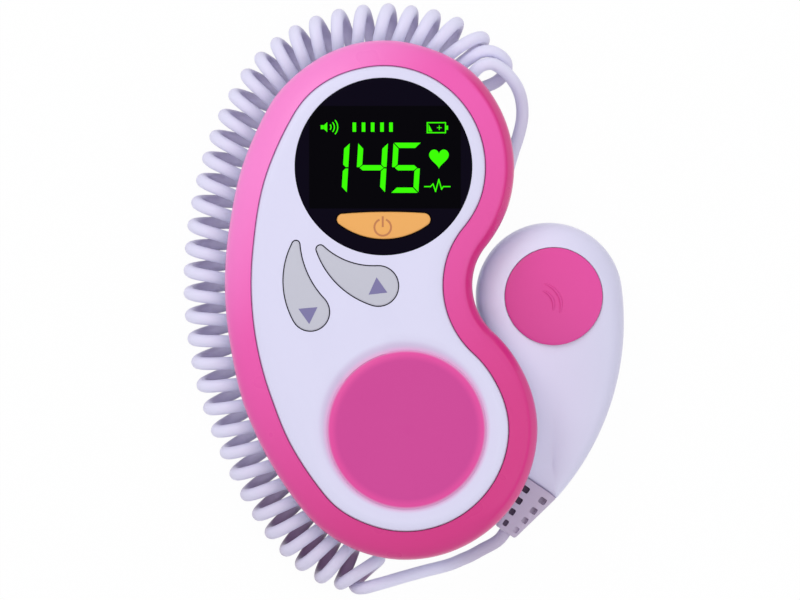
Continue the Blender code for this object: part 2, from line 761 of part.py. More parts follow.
def screw_seat(lobe, angle):
    reach = lobe[2] - SCREW_INSET
    turn = math.radians(angle)
    return lobe[0] + reach * math.cos(turn), lobe[1] + reach * math.sin(turn)


def add_screw(name, seat, head_base, tip):
    """A pan-head screw, head down, with a driver slot across its head."""
    head_top = head_base + SCREW_HEAD_HEIGHT
    profile = ((0.0, tip), (SCREW_RADIUS, tip), (SCREW_RADIUS, head_top), (SCREW_HEAD_RADIUS, head_top),
               (SCREW_HEAD_RADIUS, head_base + SCREW_SLOT_DEPTH),
               (SCREW_HEAD_RADIUS - SCREW_SLOT_WIDTH, head_base), (0.0, head_base))
    part = turned_part(name, profile, seat, STEEL, steps=16, roughness=0.3, metallic=1.0)
    slot = box_mesh((SCREW_SLOT_WIDTH, SCREW_HEAD_RADIUS * 2.5, SCREW_SLOT_DEPTH * 2), (*seat, head_base))
    combine(part, slot)


def make_rear_case():
    outer = [level(unit_outline(GROOVE_DEPTH * inset), CASE_SPLIT * height)
             for inset, height in CASE_OUTER_SHARES]
    inner = [level(unit_outline(GROOVE_DEPTH * inset), CASE_SPLIT * height)
             for inset, height in CASE_INNER_SHARES]
    floor = level(unit_outline(GROOVE_DEPTH * CASE_FLOOR_SHARE), CASE_WALL)
    case = add_part("rear_case", loft(outer + inner + [floor]), WHITE, roughness=0.4)
    bay_x, bay_y = BAY_CENTRE
    width, length = BAY_WIDTH, BAY_LENGTH
    tray_top = BAY_HEIGHT + BAY_WALL
    tray_base = CASE_WALL / 2
    tray = box_mesh((width + 2 * BAY_WALL, length + 2 * BAY_WALL, tray_top - tray_base),
                    (bay_x, bay_y, (tray_top + tray_base) / 2))
    combine(case, tray, "UNION")
    combine(case, box_mesh((width, length, 2 * BAY_HEIGHT), (bay_x, bay_y, 0.0)))
    rebate = 2 * (DOOR_LAP + GAP)
    combine(case, box_mesh((width + rebate, length + rebate, 2 * (DOOR_THICK + GAP)), (bay_x, bay_y, 0.0)))
    half = SOUND_SLOT_COUNT // 2
    for row in range(-half, half + 1):
        reach = math.sqrt((SPEAKER_RADIUS - 2 * SPEAKER_WALL) ** 2 - (row * SOUND_SLOT_PITCH) ** 2)
        place = (SPEAKER_CENTRE[0], SPEAKER_CENTRE[1] + row * SOUND_SLOT_PITCH, 0.0)
        combine(case, box_mesh((2 * reach - 2 * SPEAKER_WALL, SOUND_SLOT_WIDTH, 4 * CASE_WALL), place))
    for lobe, angle in CASE_SCREW_SEATS:
        seat = screw_seat(lobe, angle)
        combine(case, rod_mesh(SCREW_RADIUS + GAP, CASE_SPLIT / 2, CASE_SPLIT + CUT_OVERRUN, seat, 16))
    combine(case, gland_hole())


def gland_hole():
    """A level hole for the gland's neck through the case wall."""
    bm = bmesh.new()
    reach = GLAND_END_X / 2
    bmesh.ops.create_cone(bm, cap_ends=True, segments=20, radius1=GLAND_NECK_RADIUS + GAP,
                          radius2=GLAND_NECK_RADIUS + GAP, depth=reach)
    bmesh.ops.rotate(bm, matrix=Matrix.Rotation(math.pi / 2, 3, "Y"), verts=bm.verts)
    bmesh.ops.translate(bm, vec=(gland_wall_x(), GLAND_Y, GLAND_HEIGHT), verts=bm.verts)
    return mesh_from(bm)


def gland_wall_x():
    """Where the outer face of the case wall crosses the gland's axis."""
    reach = TOP_LOBE[2] - GROOVE_DEPTH
    return TOP_LOBE[0] + math.sqrt(reach ** 2 - (GLAND_Y - TOP_LOBE[1]) ** 2)


def make_gland():
    """Flange inside the wall, neck through it and a tapered sleeve outside."""
    wall = gland_wall_x()
    rise = GLAND_RADIUS * (TOP_LOBE[1] - GLAND_Y) / (TOP_LOBE[2] - GROOVE_DEPTH)
    outside = wall + rise + GAP
    inside = wall - GROOVE_DEPTH * (CASE_INNER_SHARES[0][0] - 1) - 4 * rise - GAP
    profile = ((0.0, GLAND_END_X), (GLAND_TIP_RADIUS, GLAND_END_X), (GLAND_RADIUS, outside),
               (GLAND_NECK_RADIUS, outside), (GLAND_NECK_RADIUS, inside), (GLAND_FLANGE_RADIUS, inside),
               (GLAND_FLANGE_RADIUS, inside - GLAND_FLANGE_THICK), (0.0, inside - GLAND_FLANGE_THICK))
    gland = turned_part("main_cord_gland", profile, (0.0, GLAND_Y), RELIEF_LILAC, steps=20, roughness=0.5)
    gland.location.z = GLAND_HEIGHT
    gland.rotation_euler = (0.0, math.pi / 2, 0.0)


def make_band():
    rings = [level(unit_outline(BAND_WIDTH * inset), BAND_BASE + BAND_HEIGHT * height)
             for inset, height in BAND_OUTER_SHARES]
    ledge = BAND_WIDTH + LEDGE_WIDTH
    for inset, height in ((BAND_WIDTH, LEDGE_TOP), (ledge, LEDGE_TOP), (ledge, LEDGE_TOP - LEDGE_THICK)):
        rings.append(level(unit_outline(inset), height))
    rings += [level(unit_outline(BAND_WIDTH * inset), BAND_BASE + BAND_HEIGHT * height)
              for inset, height in BAND_INNER_SHARES]
    band = add_part("rim_band", loft(rings, around=True), PINK, roughness=0.3)
    for lobe, angle in CASE_SCREW_SEATS:
        seat = screw_seat(lobe, angle)
        combine(band, rod_mesh(BOSS_RADIUS, BAND_BASE, LEDGE_TOP - LEDGE_THICK / 2, seat, 16), "UNION")
    for lobe, angle in CASE_SCREW_SEATS:
        seat = screw_seat(lobe, angle)
        top = CASE_SPLIT + SCREW_BITE + GAP
        combine(band, rod_mesh(SCREW_RADIUS + GAP, CASE_SPLIT - CUT_OVERRUN, top, seat, 16))


def make_panel():
    lip = PANEL_INSET + PANEL_LIP
    under = PANEL_INSET + PANEL_RUN
    rings = [level(unit_outline(under), PANEL_UNDER),
             level(unit_outline((under + lip) / 2), PANEL_UNDER),
             level(unit_outline(lip), PANEL_BASE),
             level(unit_outline(PANEL_INSET), PANEL_BASE)]
    rings += [level(unit_outline(PANEL_INSET + PANEL_RUN * run), PANEL_EDGE + PANEL_CROWN * rise)
              for run, rise in PANEL_TOP_SHARES]
    panel = add_part("front_panel", loft(rings), WHITE, roughness=0.35)
    low, high = PANEL_BASE - CUT_OVERRUN, PANEL_TOP + CUT_OVERRUN
    combine(panel, rod_mesh(LENS_RADIUS + GAP, low, high, LENS_CENTRE, 48))
    combine(panel, rod_mesh(DISC_RADIUS + GAP, low, high, DISC_CENTRE, 44))
    for ends, arcs in ((DOWN_ENDS, DOWN_ARCS), (UP_ENDS, UP_ARCS)):
        combine(panel, prism(button_outline(ends, arcs, -BUTTON_GAP), low, high))


def make_lens():
    profile = ((0.0, LENS_TOP), (LENS_RADIUS - LENS_BEVEL, LENS_TOP), (LENS_RADIUS, LENS_TOP - LENS_BEVEL),
               (LENS_RADIUS, LENS_BASE), (0.0, LENS_BASE))
    lens = turned_part("display_lens", profile, LENS_CENTRE, BLACK, steps=48, roughness=0.08)
    opening = prism(button_outline(POWER_ENDS, POWER_ARCS, -BUTTON_GAP), LENS_BASE - CUT_OVERRUN,
                    LENS_TOP + CUT_OVERRUN)
    combine(lens, opening)


def make_display():
    base, top = BOARD_TOP + GAP, LENS_BASE - GAP
    place = (LENS_CENTRE[0] + DISPLAY_SHIFT[0], LENS_CENTRE[1] + DISPLAY_SHIFT[1], (base + top) / 2)
    rounded_box("display_module", (*DISPLAY_SIZE, top - base), place, DISPLAY_BEVEL, DARK, roughness=0.3)


def make_disc():
    edge = PANEL_TOP - DISC_EDGE_DROP
    flange_top = PANEL_BASE - GAP
    flange = DISC_RADIUS + DISC_FLANGE
    profile = [(DISC_RADIUS * run, edge + DISC_RISE * rise) for run, rise in DISC_PROFILE_SHARES]
    profile += [(DISC_RADIUS, flange_top), (flange, flange_top), (flange, flange_top - DISC_FLANGE_THICK),
                (0.0, flange_top - DISC_FLANGE_THICK)]
    turned_part("front_disc", profile, DISC_CENTRE, DISC_PINK, steps=44, roughness=0.4)


def make_button(name, ends, arcs, colour, top, flange_top):
    """A cap through its opening, with a flange that keeps it behind the face."""
    base = flange_top - BUTTON_FLANGE_THICK
    rings = [level(button_outline(ends, arcs, -BUTTON_FLANGE), base),
             level(button_outline(ends, arcs, -BUTTON_FLANGE), flange_top),
             level(button_outline(ends, arcs, 0.0), flange_top),
             level(button_outline(ends, arcs, 0.0), top - BUTTON_ROUND),
             level(button_outline(ends, arcs, BUTTON_ROUND * 0.3), top - BUTTON_ROUND * 0.3),
             level(button_outline(ends, arcs, BUTTON_ROUND), top)]
    middle = ((ends[0][0] + ends[1][0]) / 2, (ends[0][1] + ends[1][1]) / 2, base)
    add_part(name, loft(rings), colour, roughness=0.45, origin=middle)


def make_buttons():
    make_button("power_button", POWER_ENDS, POWER_ARCS, ORANGE, LENS_TOP + BUTTON_RISE, BUTTON_FLANGE_TOP)
    make_button("volume_down_button", DOWN_ENDS, DOWN_ARCS, BUTTON_GREY, PANEL_TOP + BUTTON_RISE,
                BUTTON_FLANGE_TOP)
    make_button("volume_up_button", UP_ENDS, UP_ARCS, BUTTON_GREY, PANEL_TOP + BUTTON_RISE, BUTTON_FLANGE_TOP)
    power_x = (POWER_ENDS[0][0] + POWER_ENDS[1][0]) / 2
    power_y = POWER_ENDS[0][1] - POWER_ENDS[0][2]
    make_switch("power_switch", (power_x, power_y))
    make_switch("volume_down_switch", DOWN_ENDS[1])
    make_switch("volume_up_switch", UP_ENDS[1])


def make_switch(name, place):
    base = BOARD_TOP + GAP
    body = box_mesh((SWITCH_SIZE, SWITCH_SIZE, SWITCH_BODY), (place[0], place[1], base + SWITCH_BODY / 2))
    switch = add_part(name, body, DARK, roughness=0.5)
    combine(switch, rod_mesh(SWITCH_PLUNGER_RADIUS, base + SWITCH_BODY / 2, SWITCH_TOP, place), "UNION")


def make_board():
    board = prism(unit_outline(BOARD_INSET), BOARD_BASE, BOARD_TOP)
    add_part("main_board", board, BOARD_GREEN, roughness=0.5)
    for name, size, place in (("processor_chip", CHIP_SIZE, CHIP_PLACE),
                              ("amplifier_chip", AMPLIFIER_SIZE, AMPLIFIER_PLACE),
                              ("cord_connector", CONNECTOR_SIZE, CONNECTOR_PLACE)):
        centre = (place[0], place[1], BOARD_TOP + GAP + size[2] / 2)
        rounded_box(name, size, centre, GAP / 2, DARK, roughness=0.5)


def make_battery():
    bay_x, bay_y = BAY_CENTRE
    length = BAY_LENGTH
    rest = CELL_REST + CELL_RADIUS
    whole = CELL_LENGTH + CELL_NUB_LENGTH
    for number, side in ((1, -1), (2, 1)):
        profile = ((0.0, whole), (CELL_NUB_RADIUS, whole), (CELL_NUB_RADIUS, CELL_LENGTH),
                   (CELL_RADIUS - GAP, CELL_LENGTH), (CELL_RADIUS, CELL_LENGTH - GAP), (CELL_RADIUS, GAP),
                   (CELL_RADIUS - GAP, 0.0), (0.0, 0.0))
        cell = turned_part(f"battery_cell_{number}", profile, (0.0, 0.0), CELL_BLUE, steps=24,
                           roughness=0.3, metallic=0.3)
        cell.location = (bay_x + side * (CELL_RADIUS + GAP), bay_y - side * whole / 2, rest)
        cell.rotation_euler = (-side * math.pi / 2, 0.0, 0.0)
    boss = (length - whole) / 2 - 2 * GAP
    for name, side in (("battery_contact_top", 1), ("battery_contact_bottom", -1)):
        plate_y = bay_y + side * (length / 2 - GAP - CONTACT_THICK / 2)
        plate = add_part(name, box_mesh((BAY_WIDTH - 4 * GAP, CONTACT_THICK, CONTACT_HEIGHT),
                                        (bay_x, plate_y, rest)), STEEL, roughness=0.3, metallic=1.0)
        for cell_side in (-1, 1):
            bm = bmesh.new()
            bmesh.ops.create_cone(bm, cap_ends=True, segments=16, radius1=CONTACT_BOSS_RADIUS,
                                  radius2=CONTACT_BOSS_RADIUS, depth=boss)
            bmesh.ops.rotate(bm, matrix=Matrix.Rotation(math.pi / 2, 3, "X"), verts=bm.verts)
            boss_y = bay_y + side * (length / 2 - GAP - boss / 2)
            place = (bay_x + cell_side * (CELL_RADIUS + GAP), boss_y, rest)
            bmesh.ops.translate(bm, vec=place, verts=bm.verts)
            combine(plate, mesh_from(bm), "UNION")
    make_door()


def make_door():
    bay_x, bay_y = BAY_CENTRE
    lap = 2 * DOOR_LAP
    size = (BAY_WIDTH + lap, BAY_LENGTH + lap, DOOR_THICK)
    hinge = (bay_x, bay_y - size[1] / 2, 0.0)
    body = box_mesh(size, (bay_x, bay_y, DOOR_THICK / 2))
    door = add_part("battery_door", body, WHITE, roughness=0.4, origin=hinge)
    grip_y = bay_y + size[1] / 2 - DOOR_GRIP_PITCH
    for row in range(DOOR_GRIP_COUNT):
        place = (bay_x, grip_y - row * DOOR_GRIP_PITCH, 0.0)
        width, height, depth = DOOR_GRIP_SIZE
        combine(door, box_mesh((width, height, 2 * depth), place))


def make_speaker():
    base = SPEAKER_BASE
    outer, wall, high = SPEAKER_RADIUS, SPEAKER_WALL, base + SPEAKER_HEIGHT
    seat = MAGNET_RADIUS + 2 * wall
    frame = ((seat, high), (outer, base + 1.2 * wall), (outer, base), (outer - 2 * wall, base),
             (outer - 2 * wall, base + wall), (seat - wall, high - wall), (seat - wall, high))
    ring_part("speaker_frame", frame, SPEAKER_CENTRE, STEEL, steps=24, roughness=0.35, metallic=0.8)
    rim = outer - 2 * wall - GAP
    top = high - wall
    throat = MAGNET_RADIUS / 2
    under = top - 1.5 * wall
    cone = ((0.0, top - wall), (throat, top - wall), (rim - wall, base + wall), (rim, base + wall),
            (rim, base + wall / 2), (rim - wall, base + wall / 2), (throat, under), (0.0, under))
    turned_part("speaker_cone", cone, SPEAKER_CENTRE, PAPER, steps=24, roughness=0.8)
    magnet = ((0.0, high + MAGNET_HEIGHT), (seat, high + MAGNET_HEIGHT), (seat, high + GAP),
              (0.0, high + GAP))
    turned_part("speaker_magnet", magnet, SPEAKER_CENTRE, DARK, steps=24, roughness=0.4, metallic=0.5)


def make_case_screws():
    flange_base = CASE_SPLIT * CASE_OUTER_SHARES[7][1]
    for number, (lobe, angle) in enumerate(CASE_SCREW_SEATS, start=1):
        head_base = flange_base - GAP - SCREW_HEAD_HEIGHT - GAP
        add_screw(f"case_screw_{number}", screw_seat(lobe, angle), head_base, CASE_SPLIT + SCREW_BITE)


def make_cord():
    coil = coil_centreline()
    main_lead = main_lead_centreline(coil)
    probe_lead = probe_lead_centreline(coil)
    tube_part("cord_lead_main", main_lead, 1, CORD_LILAC)
    tube_part("cord_coil", coil, 1, CORD_LILAC)
    tube_part("cord_lead_probe", probe_lead, 2, CORD_LILAC)
    fine = even_points(main_lead + coil + probe_lead, CORD_RADIUS / 2)
    gap = least_gap(fine)
    print(f"cord: least gap to itself {gap * 1000:.2f} mm, length {len(fine) * CORD_RADIUS / 2:.3f} m")
    if gap < LEAST_CORD_GAP:
        print("cord: the gap is smaller than it should be")


def make_probe():
    front = shell_part("probe_front_case", probe_rings(PROBE_TOP_HEIGHT, 1), 1, WHITE)
    rear = shell_part("probe_rear_case", probe_rings(PROBE_BOTTOM_HEIGHT, -1), -1, WHITE)
    seat = TOP_HEIGHT_OF_PROBE - PROBE_DISC_SEAT
    over = TOP_HEIGHT_OF_PROBE + CUT_OVERRUN
    combine(front, rod_mesh(PROBE_DISC_RADIUS + GAP, seat, over, PROBE_DISC_CENTRE, 48))
    combine(rear, rod_mesh(WINDOW_RADIUS + GAP, -CUT_OVERRUN, WINDOW_SEAT, PROBE_HEAD, 40))
    disc_base = seat + GAP
    crown = TOP_HEIGHT_OF_PROBE + PROBE_DISC_RISE
    disc = ((0.0, crown), (PROBE_DISC_RADIUS * 0.6, crown - PROBE_DISC_RISE),
            (PROBE_DISC_RADIUS * 0.96, disc_base + PROBE_DISC_EDGE),
            (PROBE_DISC_RADIUS, disc_base + PROBE_DISC_EDGE * 0.6), (PROBE_DISC_RADIUS, disc_base),
            (0.0, disc_base))
    turned_part("probe_disc", disc, PROBE_DISC_CENTRE, DISC_PINK, steps=48, roughness=0.4)
    make_transducer()
    make_probe_screws(front, rear)
    make_relief()


def make_transducer():
    flange = WINDOW_RADIUS + WINDOW_FLANGE
    top = WINDOW_SEAT + WINDOW_FLANGE_THICK
    window = ((0.0, top), (flange, top), (flange, WINDOW_SEAT), (WINDOW_RADIUS, WINDOW_SEAT),
              (WINDOW_RADIUS, GAP), (WINDOW_RADIUS - GAP, 0.0), (0.0, 0.0))
    turned_part("acoustic_window", window, PROBE_HEAD, WINDOW_GREY, steps=40, roughness=0.3)
    base = top + GAP
    for name, start in (("transmit_crystal", 0.0), ("receive_crystal", math.pi)):
        arc = sweep(PROBE_HEAD[:2], CRYSTAL_RADIUS, start, start + math.pi, 16)
        arc.append(Vector((PROBE_HEAD[0] + CRYSTAL_RADIUS * math.cos(start + math.pi), PROBE_HEAD[1])))
        lift = CRYSTAL_SPLIT / 2 * (1 if start == 0.0 else -1)
        arc = [point + Vector((0, lift)) for point in arc]
        add_part(name, prism(arc, base, base + CRYSTAL_THICK), CERAMIC, roughness=0.5)
    backing_base = base + CRYSTAL_THICK + GAP
    backing_top = backing_base + BACKING_THICK
    backing = ((0.0, backing_top), (BACKING_RADIUS, backing_top), (BACKING_RADIUS, backing_base),
               (0.0, backing_base))
    turned_part("crystal_backing", backing, PROBE_HEAD, DARK, steps=32, roughness=0.7)
    board_base = backing_top + GAP
    board = ((0.0, board_base + PROBE_BOARD_THICK), (PROBE_BOARD_RADIUS, board_base + PROBE_BOARD_THICK),
             (PROBE_BOARD_RADIUS, board_base), (0.0, board_base))
    turned_part("probe_board", board, PROBE_HEAD, BOARD_GREEN, steps=32, roughness=0.5)


def make_probe_screws(front, rear):
    head, tail = Vector(PROBE_HEAD[:2]), spine_end()
    for number, share in enumerate(PROBE_SCREW_SHARES, start=1):
        seat = tuple(head.lerp(tail, share))
        inner_top = TOP_HEIGHT_OF_PROBE + (PROBE_TAIL_HEIGHT - PROBE_TOP_HEIGHT) * share - PROBE_WALL / 2
        outer_low = PROBE_SPLIT - PROBE_BOTTOM_HEIGHT - (PROBE_TAIL_HEIGHT - PROBE_BOTTOM_HEIGHT) * share
        inner_low = outer_low + PROBE_WALL / 2
        shelf = outer_low + PROBE_SCREW_HEAD_DEPTH
        combine(front, rod_mesh(PROBE_BOSS_RADIUS, PROBE_SPLIT + GAP / 2, inner_top, seat, 16), "UNION")
        combine(rear, rod_mesh(PROBE_BOSS_RADIUS + GAP, inner_low, PROBE_SPLIT - GAP / 2, seat, 16), "UNION")
        tip = PROBE_SPLIT + PROBE_SCREW_BITE
        combine(front, rod_mesh(SCREW_RADIUS + GAP, PROBE_SPLIT - GAP, tip + GAP, seat, 16))
        combine(rear, rod_mesh(SCREW_RADIUS + GAP, shelf - GAP, PROBE_SPLIT + GAP, seat, 16))
        combine(rear, rod_mesh(SCREW_HEAD_RADIUS + GAP, -CUT_OVERRUN, shelf, seat, 16))
        add_screw(f"probe_screw_{number}", seat, shelf - GAP - SCREW_HEAD_HEIGHT, tip)


def make_relief():
    """A tapering rounded block with rows of windows round a solid core."""
    axis = relief_axis()
    across = Vector((axis.y, -axis.x, 0.0))
    start = relief_start()
    up = Vector((0, 0, 1))
    rings = []
    for share, draw in zip(RELIEF_RING_SHARES, RELIEF_INSET_SHARES):
        half_width = (PROBE_TAIL_WIDTH + (RELIEF_END_WIDTH - PROBE_TAIL_WIDTH) * share) / 2 * draw
        half_height = (RELIEF_HEIGHT + (RELIEF_END_HEIGHT - RELIEF_HEIGHT) * share) / 2 * draw
        middle = start + axis * (RELIEF_LENGTH * share)
        rings.append([middle + across * (half_width * rounded(math.cos(turn)))
                      + up * (half_height * rounded(math.sin(turn)))
                      for turn in [2 * math.pi * i / RELIEF_POINTS for i in range(RELIEF_POINTS)]])
    relief = add_part("probe_strain_relief", loft(rings), RELIEF_LILAC, roughness=0.5)
    for row in range(RELIEF_ROWS):
        share = RELIEF_FIRST_SHARE + RELIEF_PITCH_SHARE * row
        cut_window_row(relief, start + axis * (RELIEF_LENGTH * share), share, axis, across, up)


def rounded(part):
    return math.copysign(abs(part) ** RELIEF_ROUND_SHARE, part)


def cut_window_row(relief, middle, share, axis, across, up):
    """Four pockets round the core: over, under and at both sides."""
    width = PROBE_TAIL_WIDTH + (RELIEF_END_WIDTH - PROBE_TAIL_WIDTH) * share
    core = RELIEF_CORE / 2 * (1 - share * 0.25)
    long = RELIEF_LENGTH * RELIEF_WINDOW_SHARE
    for out, side in ((up, across), (-up, across), (across, up), (-across, up)):
        reach = width
        wide = width / 5
        bm = bmesh.new()
        bmesh.ops.create_cube(bm, size=1.0)
        for vert in bm.verts:
            place = vert.co
            vert.co = (middle + axis * (place.x * long) + side * (place.y * wide)
                       + out * (core + (place.z + 0.5) * reach))
        bm.normal_update()
        bmesh.ops.recalc_face_normals(bm, faces=bm.faces)
        combine(relief, mesh_from(bm))


ANCHOR = make_anchor()


def main():
    make_rear_case()
    make_gland()
    make_band()
    make_panel()
    make_lens()
    make_display()
    make_disc()
    make_buttons()
    make_board()
    make_battery()
    make_speaker()
    make_case_screws()
    make_cord()
    make_probe()


main()
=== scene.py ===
"""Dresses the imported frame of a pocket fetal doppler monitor: the pink rim, the white
face with its window, keys and palm disc, the probe, and the curly cord round them."""

import math

import bmesh
import bpy
from bpy.props import FloatProperty, FloatVectorProperty, IntProperty, PointerProperty
from mathutils import Matrix, Vector
from mathutils.kdtree import KDTree


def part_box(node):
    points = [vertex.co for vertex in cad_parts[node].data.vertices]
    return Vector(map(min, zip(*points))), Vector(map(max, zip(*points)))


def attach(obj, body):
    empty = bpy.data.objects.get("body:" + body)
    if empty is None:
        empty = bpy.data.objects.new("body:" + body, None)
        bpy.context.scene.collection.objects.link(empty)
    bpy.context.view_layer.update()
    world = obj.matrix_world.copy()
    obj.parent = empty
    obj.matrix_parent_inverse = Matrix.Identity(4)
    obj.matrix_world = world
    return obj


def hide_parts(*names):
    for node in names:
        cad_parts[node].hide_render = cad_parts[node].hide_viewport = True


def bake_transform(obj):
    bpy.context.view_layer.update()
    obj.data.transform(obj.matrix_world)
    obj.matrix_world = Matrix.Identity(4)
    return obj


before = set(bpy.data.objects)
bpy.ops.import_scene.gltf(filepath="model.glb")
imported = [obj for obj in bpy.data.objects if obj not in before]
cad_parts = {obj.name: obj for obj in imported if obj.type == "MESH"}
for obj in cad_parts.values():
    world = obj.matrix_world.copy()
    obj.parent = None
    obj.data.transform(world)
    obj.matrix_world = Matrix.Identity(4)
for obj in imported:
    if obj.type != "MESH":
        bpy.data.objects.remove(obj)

bl_info = {
    "name": "Fetal doppler monitor",
    "version": (1, 0, 0),
    "blender": (4, 5, 0),
    "location": "View3D > Sidebar > Monitor",
    "description": "Models the visible pieces of a fetal doppler monitor on its packed frame",
    "category": "Object",
}


def node_height(node, top=True):
    """Highest or lowest level of a node of the frame."""
    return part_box(node)[1 if top else 0].z


# Heights that come from the frame
RIM_BASE = node_height("rim_band", top=False)
RIM_TOP = node_height("rim_band")
CASE_TOP = node_height("rear_case")
PLATE_BASE = node_height("front_panel", top=False)
PLATE_TOP = node_height("front_panel")
LENS_BASE = node_height("display_lens", top=False)
LENS_TOP = node_height("display_lens")
PALM_TOP = node_height("front_disc")
PALM_BASE = node_height("front_disc", top=False)
PROBE_DISC_TOP = node_height("probe_disc")
PROBE_DISC_BASE = node_height("probe_disc", top=False)

# The plan of the pieces: lobes are centre and radius, and the lens sets its origin
LENS_PLAN = Vector((-0.0031, 0.0353, 0.0))
LENS_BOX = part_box("display_lens")
PLAN_SHIFT = Vector((*((LENS_BOX[0] + LENS_BOX[1]) / 2).xy, 0.0)) - LENS_PLAN
GAP = 0.0003
SEAM = 0.00016
MERGE = 0.00001
CUT_OVERRUN = GAP * 4


def screen_colour(red, green, blue):
    """Linear colour of screen values from 0 to 255."""
    shades = [value / 255 for value in (red, green, blue)]
    return tuple(s / 12.92 if s <= 0.04045 else ((s + 0.055) / 1.055) ** 2.4 for s in shades)


def length(name, description, default):
    return FloatProperty(name=name, description=description, default=default, unit="LENGTH", precision=5)


def place(name, description, default):
    return FloatVectorProperty(name=name, description=description, default=default, size=len(default),
                               unit="LENGTH", precision=5)


def colour(name, description, default):
    return FloatVectorProperty(name=name, description=description, default=screen_colour(*default), size=3,
                               subtype="COLOR", min=0.0, max=1.0)


class MonitorBody(bpy.types.PropertyGroup):
    """Sizes of the main unit, in the plan's own coordinates."""
    top_lobe: place("Top lobe", "Centre and radius of the upper lobe", (-0.0030, 0.0351, 0.0346))
    low_lobe: place("Low lobe", "Centre and radius of the lower lobe", (0.0029, -0.0353, 0.0350))
    flank_radius: length("Flank radius", "Radius of the full left flank", 0.0970)
    waist_radius: length("Waist radius", "Radius of the drawn-in waist", 0.0172)
    rim_width: length("Rim width", "Width of the pink rim inside the case's outline", 0.0071)
    rim_flare: length("Rim flare", "How far the rim stands out past the case", 0.0005)
    # The flank width also sets how far in the painted shade down the right side reaches.
    rim_flank: length("Rim flank", "Width of the steep zone along the right flank", 0.0020)
    rim_ledge: length("Rim ledge", "Width of the ledge under the plate", 0.0029)
    rim_ledge_drop: length("Ledge drop", "How far the ledge lies below the rim", 0.0023)
    groove_depth: length("Groove depth", "Depth of the groove that holds the cord", 0.0110)
    case_wall: length("Case wall", "Wall of the rear case", 0.0020)
    plate_crown: length("Plate crown", "Rise of the white plate from its edge", 0.0018)
    plate_run: length("Plate run", "Width over which the plate rises", 0.0130)
    plate_thick: length("Plate thickness", "Thickness of the white plate", 0.0022)
    dish_depth: length("Dish depth", "Depth of the dish round the palm disc", 0.0008)
    dish_width: length("Dish width", "Width of the dish round the palm disc", 0.0046)
    lens_radius: length("Lens radius", "Radius of the black window", 0.0238)
    palm_centre: place("Palm disc", "Centre of the pink palm disc", (0.0031, -0.0356))
    palm_radius: length("Palm disc radius", "Radius of the pink palm disc", 0.0214)
    key_rise: length("Key rise", "How far the keys stand above the face", 0.0005)
    key_flange: length("Key flange", "Width of a key's hidden flange", 0.0008)


class MonitorProbe(bpy.types.PropertyGroup):
    """Sizes of the probe, in the plan's own coordinates."""
    head: place("Head", "Centre and radius of the probe's head", (0.0417, 0.0004, 0.01985))
    back_radius: length("Back radius", "Radius of the outer side", 0.0716)
    tail_width: length("Tail width", "Width of the flat tail", 0.0127)
    split: length("Split height", "Height of the seam between the shells", 0.0080)
    top_height: length("Upper height", "Rise of the head above the seam", 0.0120)
    bottom_height: length("Lower height", "Drop of the head below the seam", 0.0076)
    tail_height: length("Tail height", "Rise and drop of the tail from the seam", 0.0056)
    setback: length("Spine setback", "How far the spine stops before the tail", 0.0072)
    wall: length("Wall", "Wall of the shells", 0.0018)
    disc_centre: place("Disc", "Centre of the probe's pink disc", (0.0429, 0.0003))
    disc_radius: length("Disc radius", "Radius of the probe's pink disc", 0.0132)
    ear_centre: place("Embossed arcs", "Common centre of the embossed arcs", (0.0389, -0.0021))
    relief_length: length("Relief length", "Length of the strain relief", 0.0155)
    relief_height: length("Relief height", "Height of the strain relief at the probe", 0.0096)
    relief_end_width: length("Relief end width", "Width of the strain relief at the cord", 0.0064)
    relief_end_height: length("Relief end height", "Height of the strain relief at the cord", 0.0058)


class MonitorCord(bpy.types.PropertyGroup):
    """Sizes of the curly cord."""
    diameter: length("Diameter", "Diameter of the cord", 0.0034)
    curl_radius: length("Curl radius", "Radius of the curls at the middle of the cord", 0.0058)
    gland_face: place("Gland face", "Where the cord leaves the main unit", (0.0246, 0.0295, 0.0080))
    curl_points: IntProperty(name="Points per curl", description="Points that draw one curl", default=20,
                             min=12, max=40)


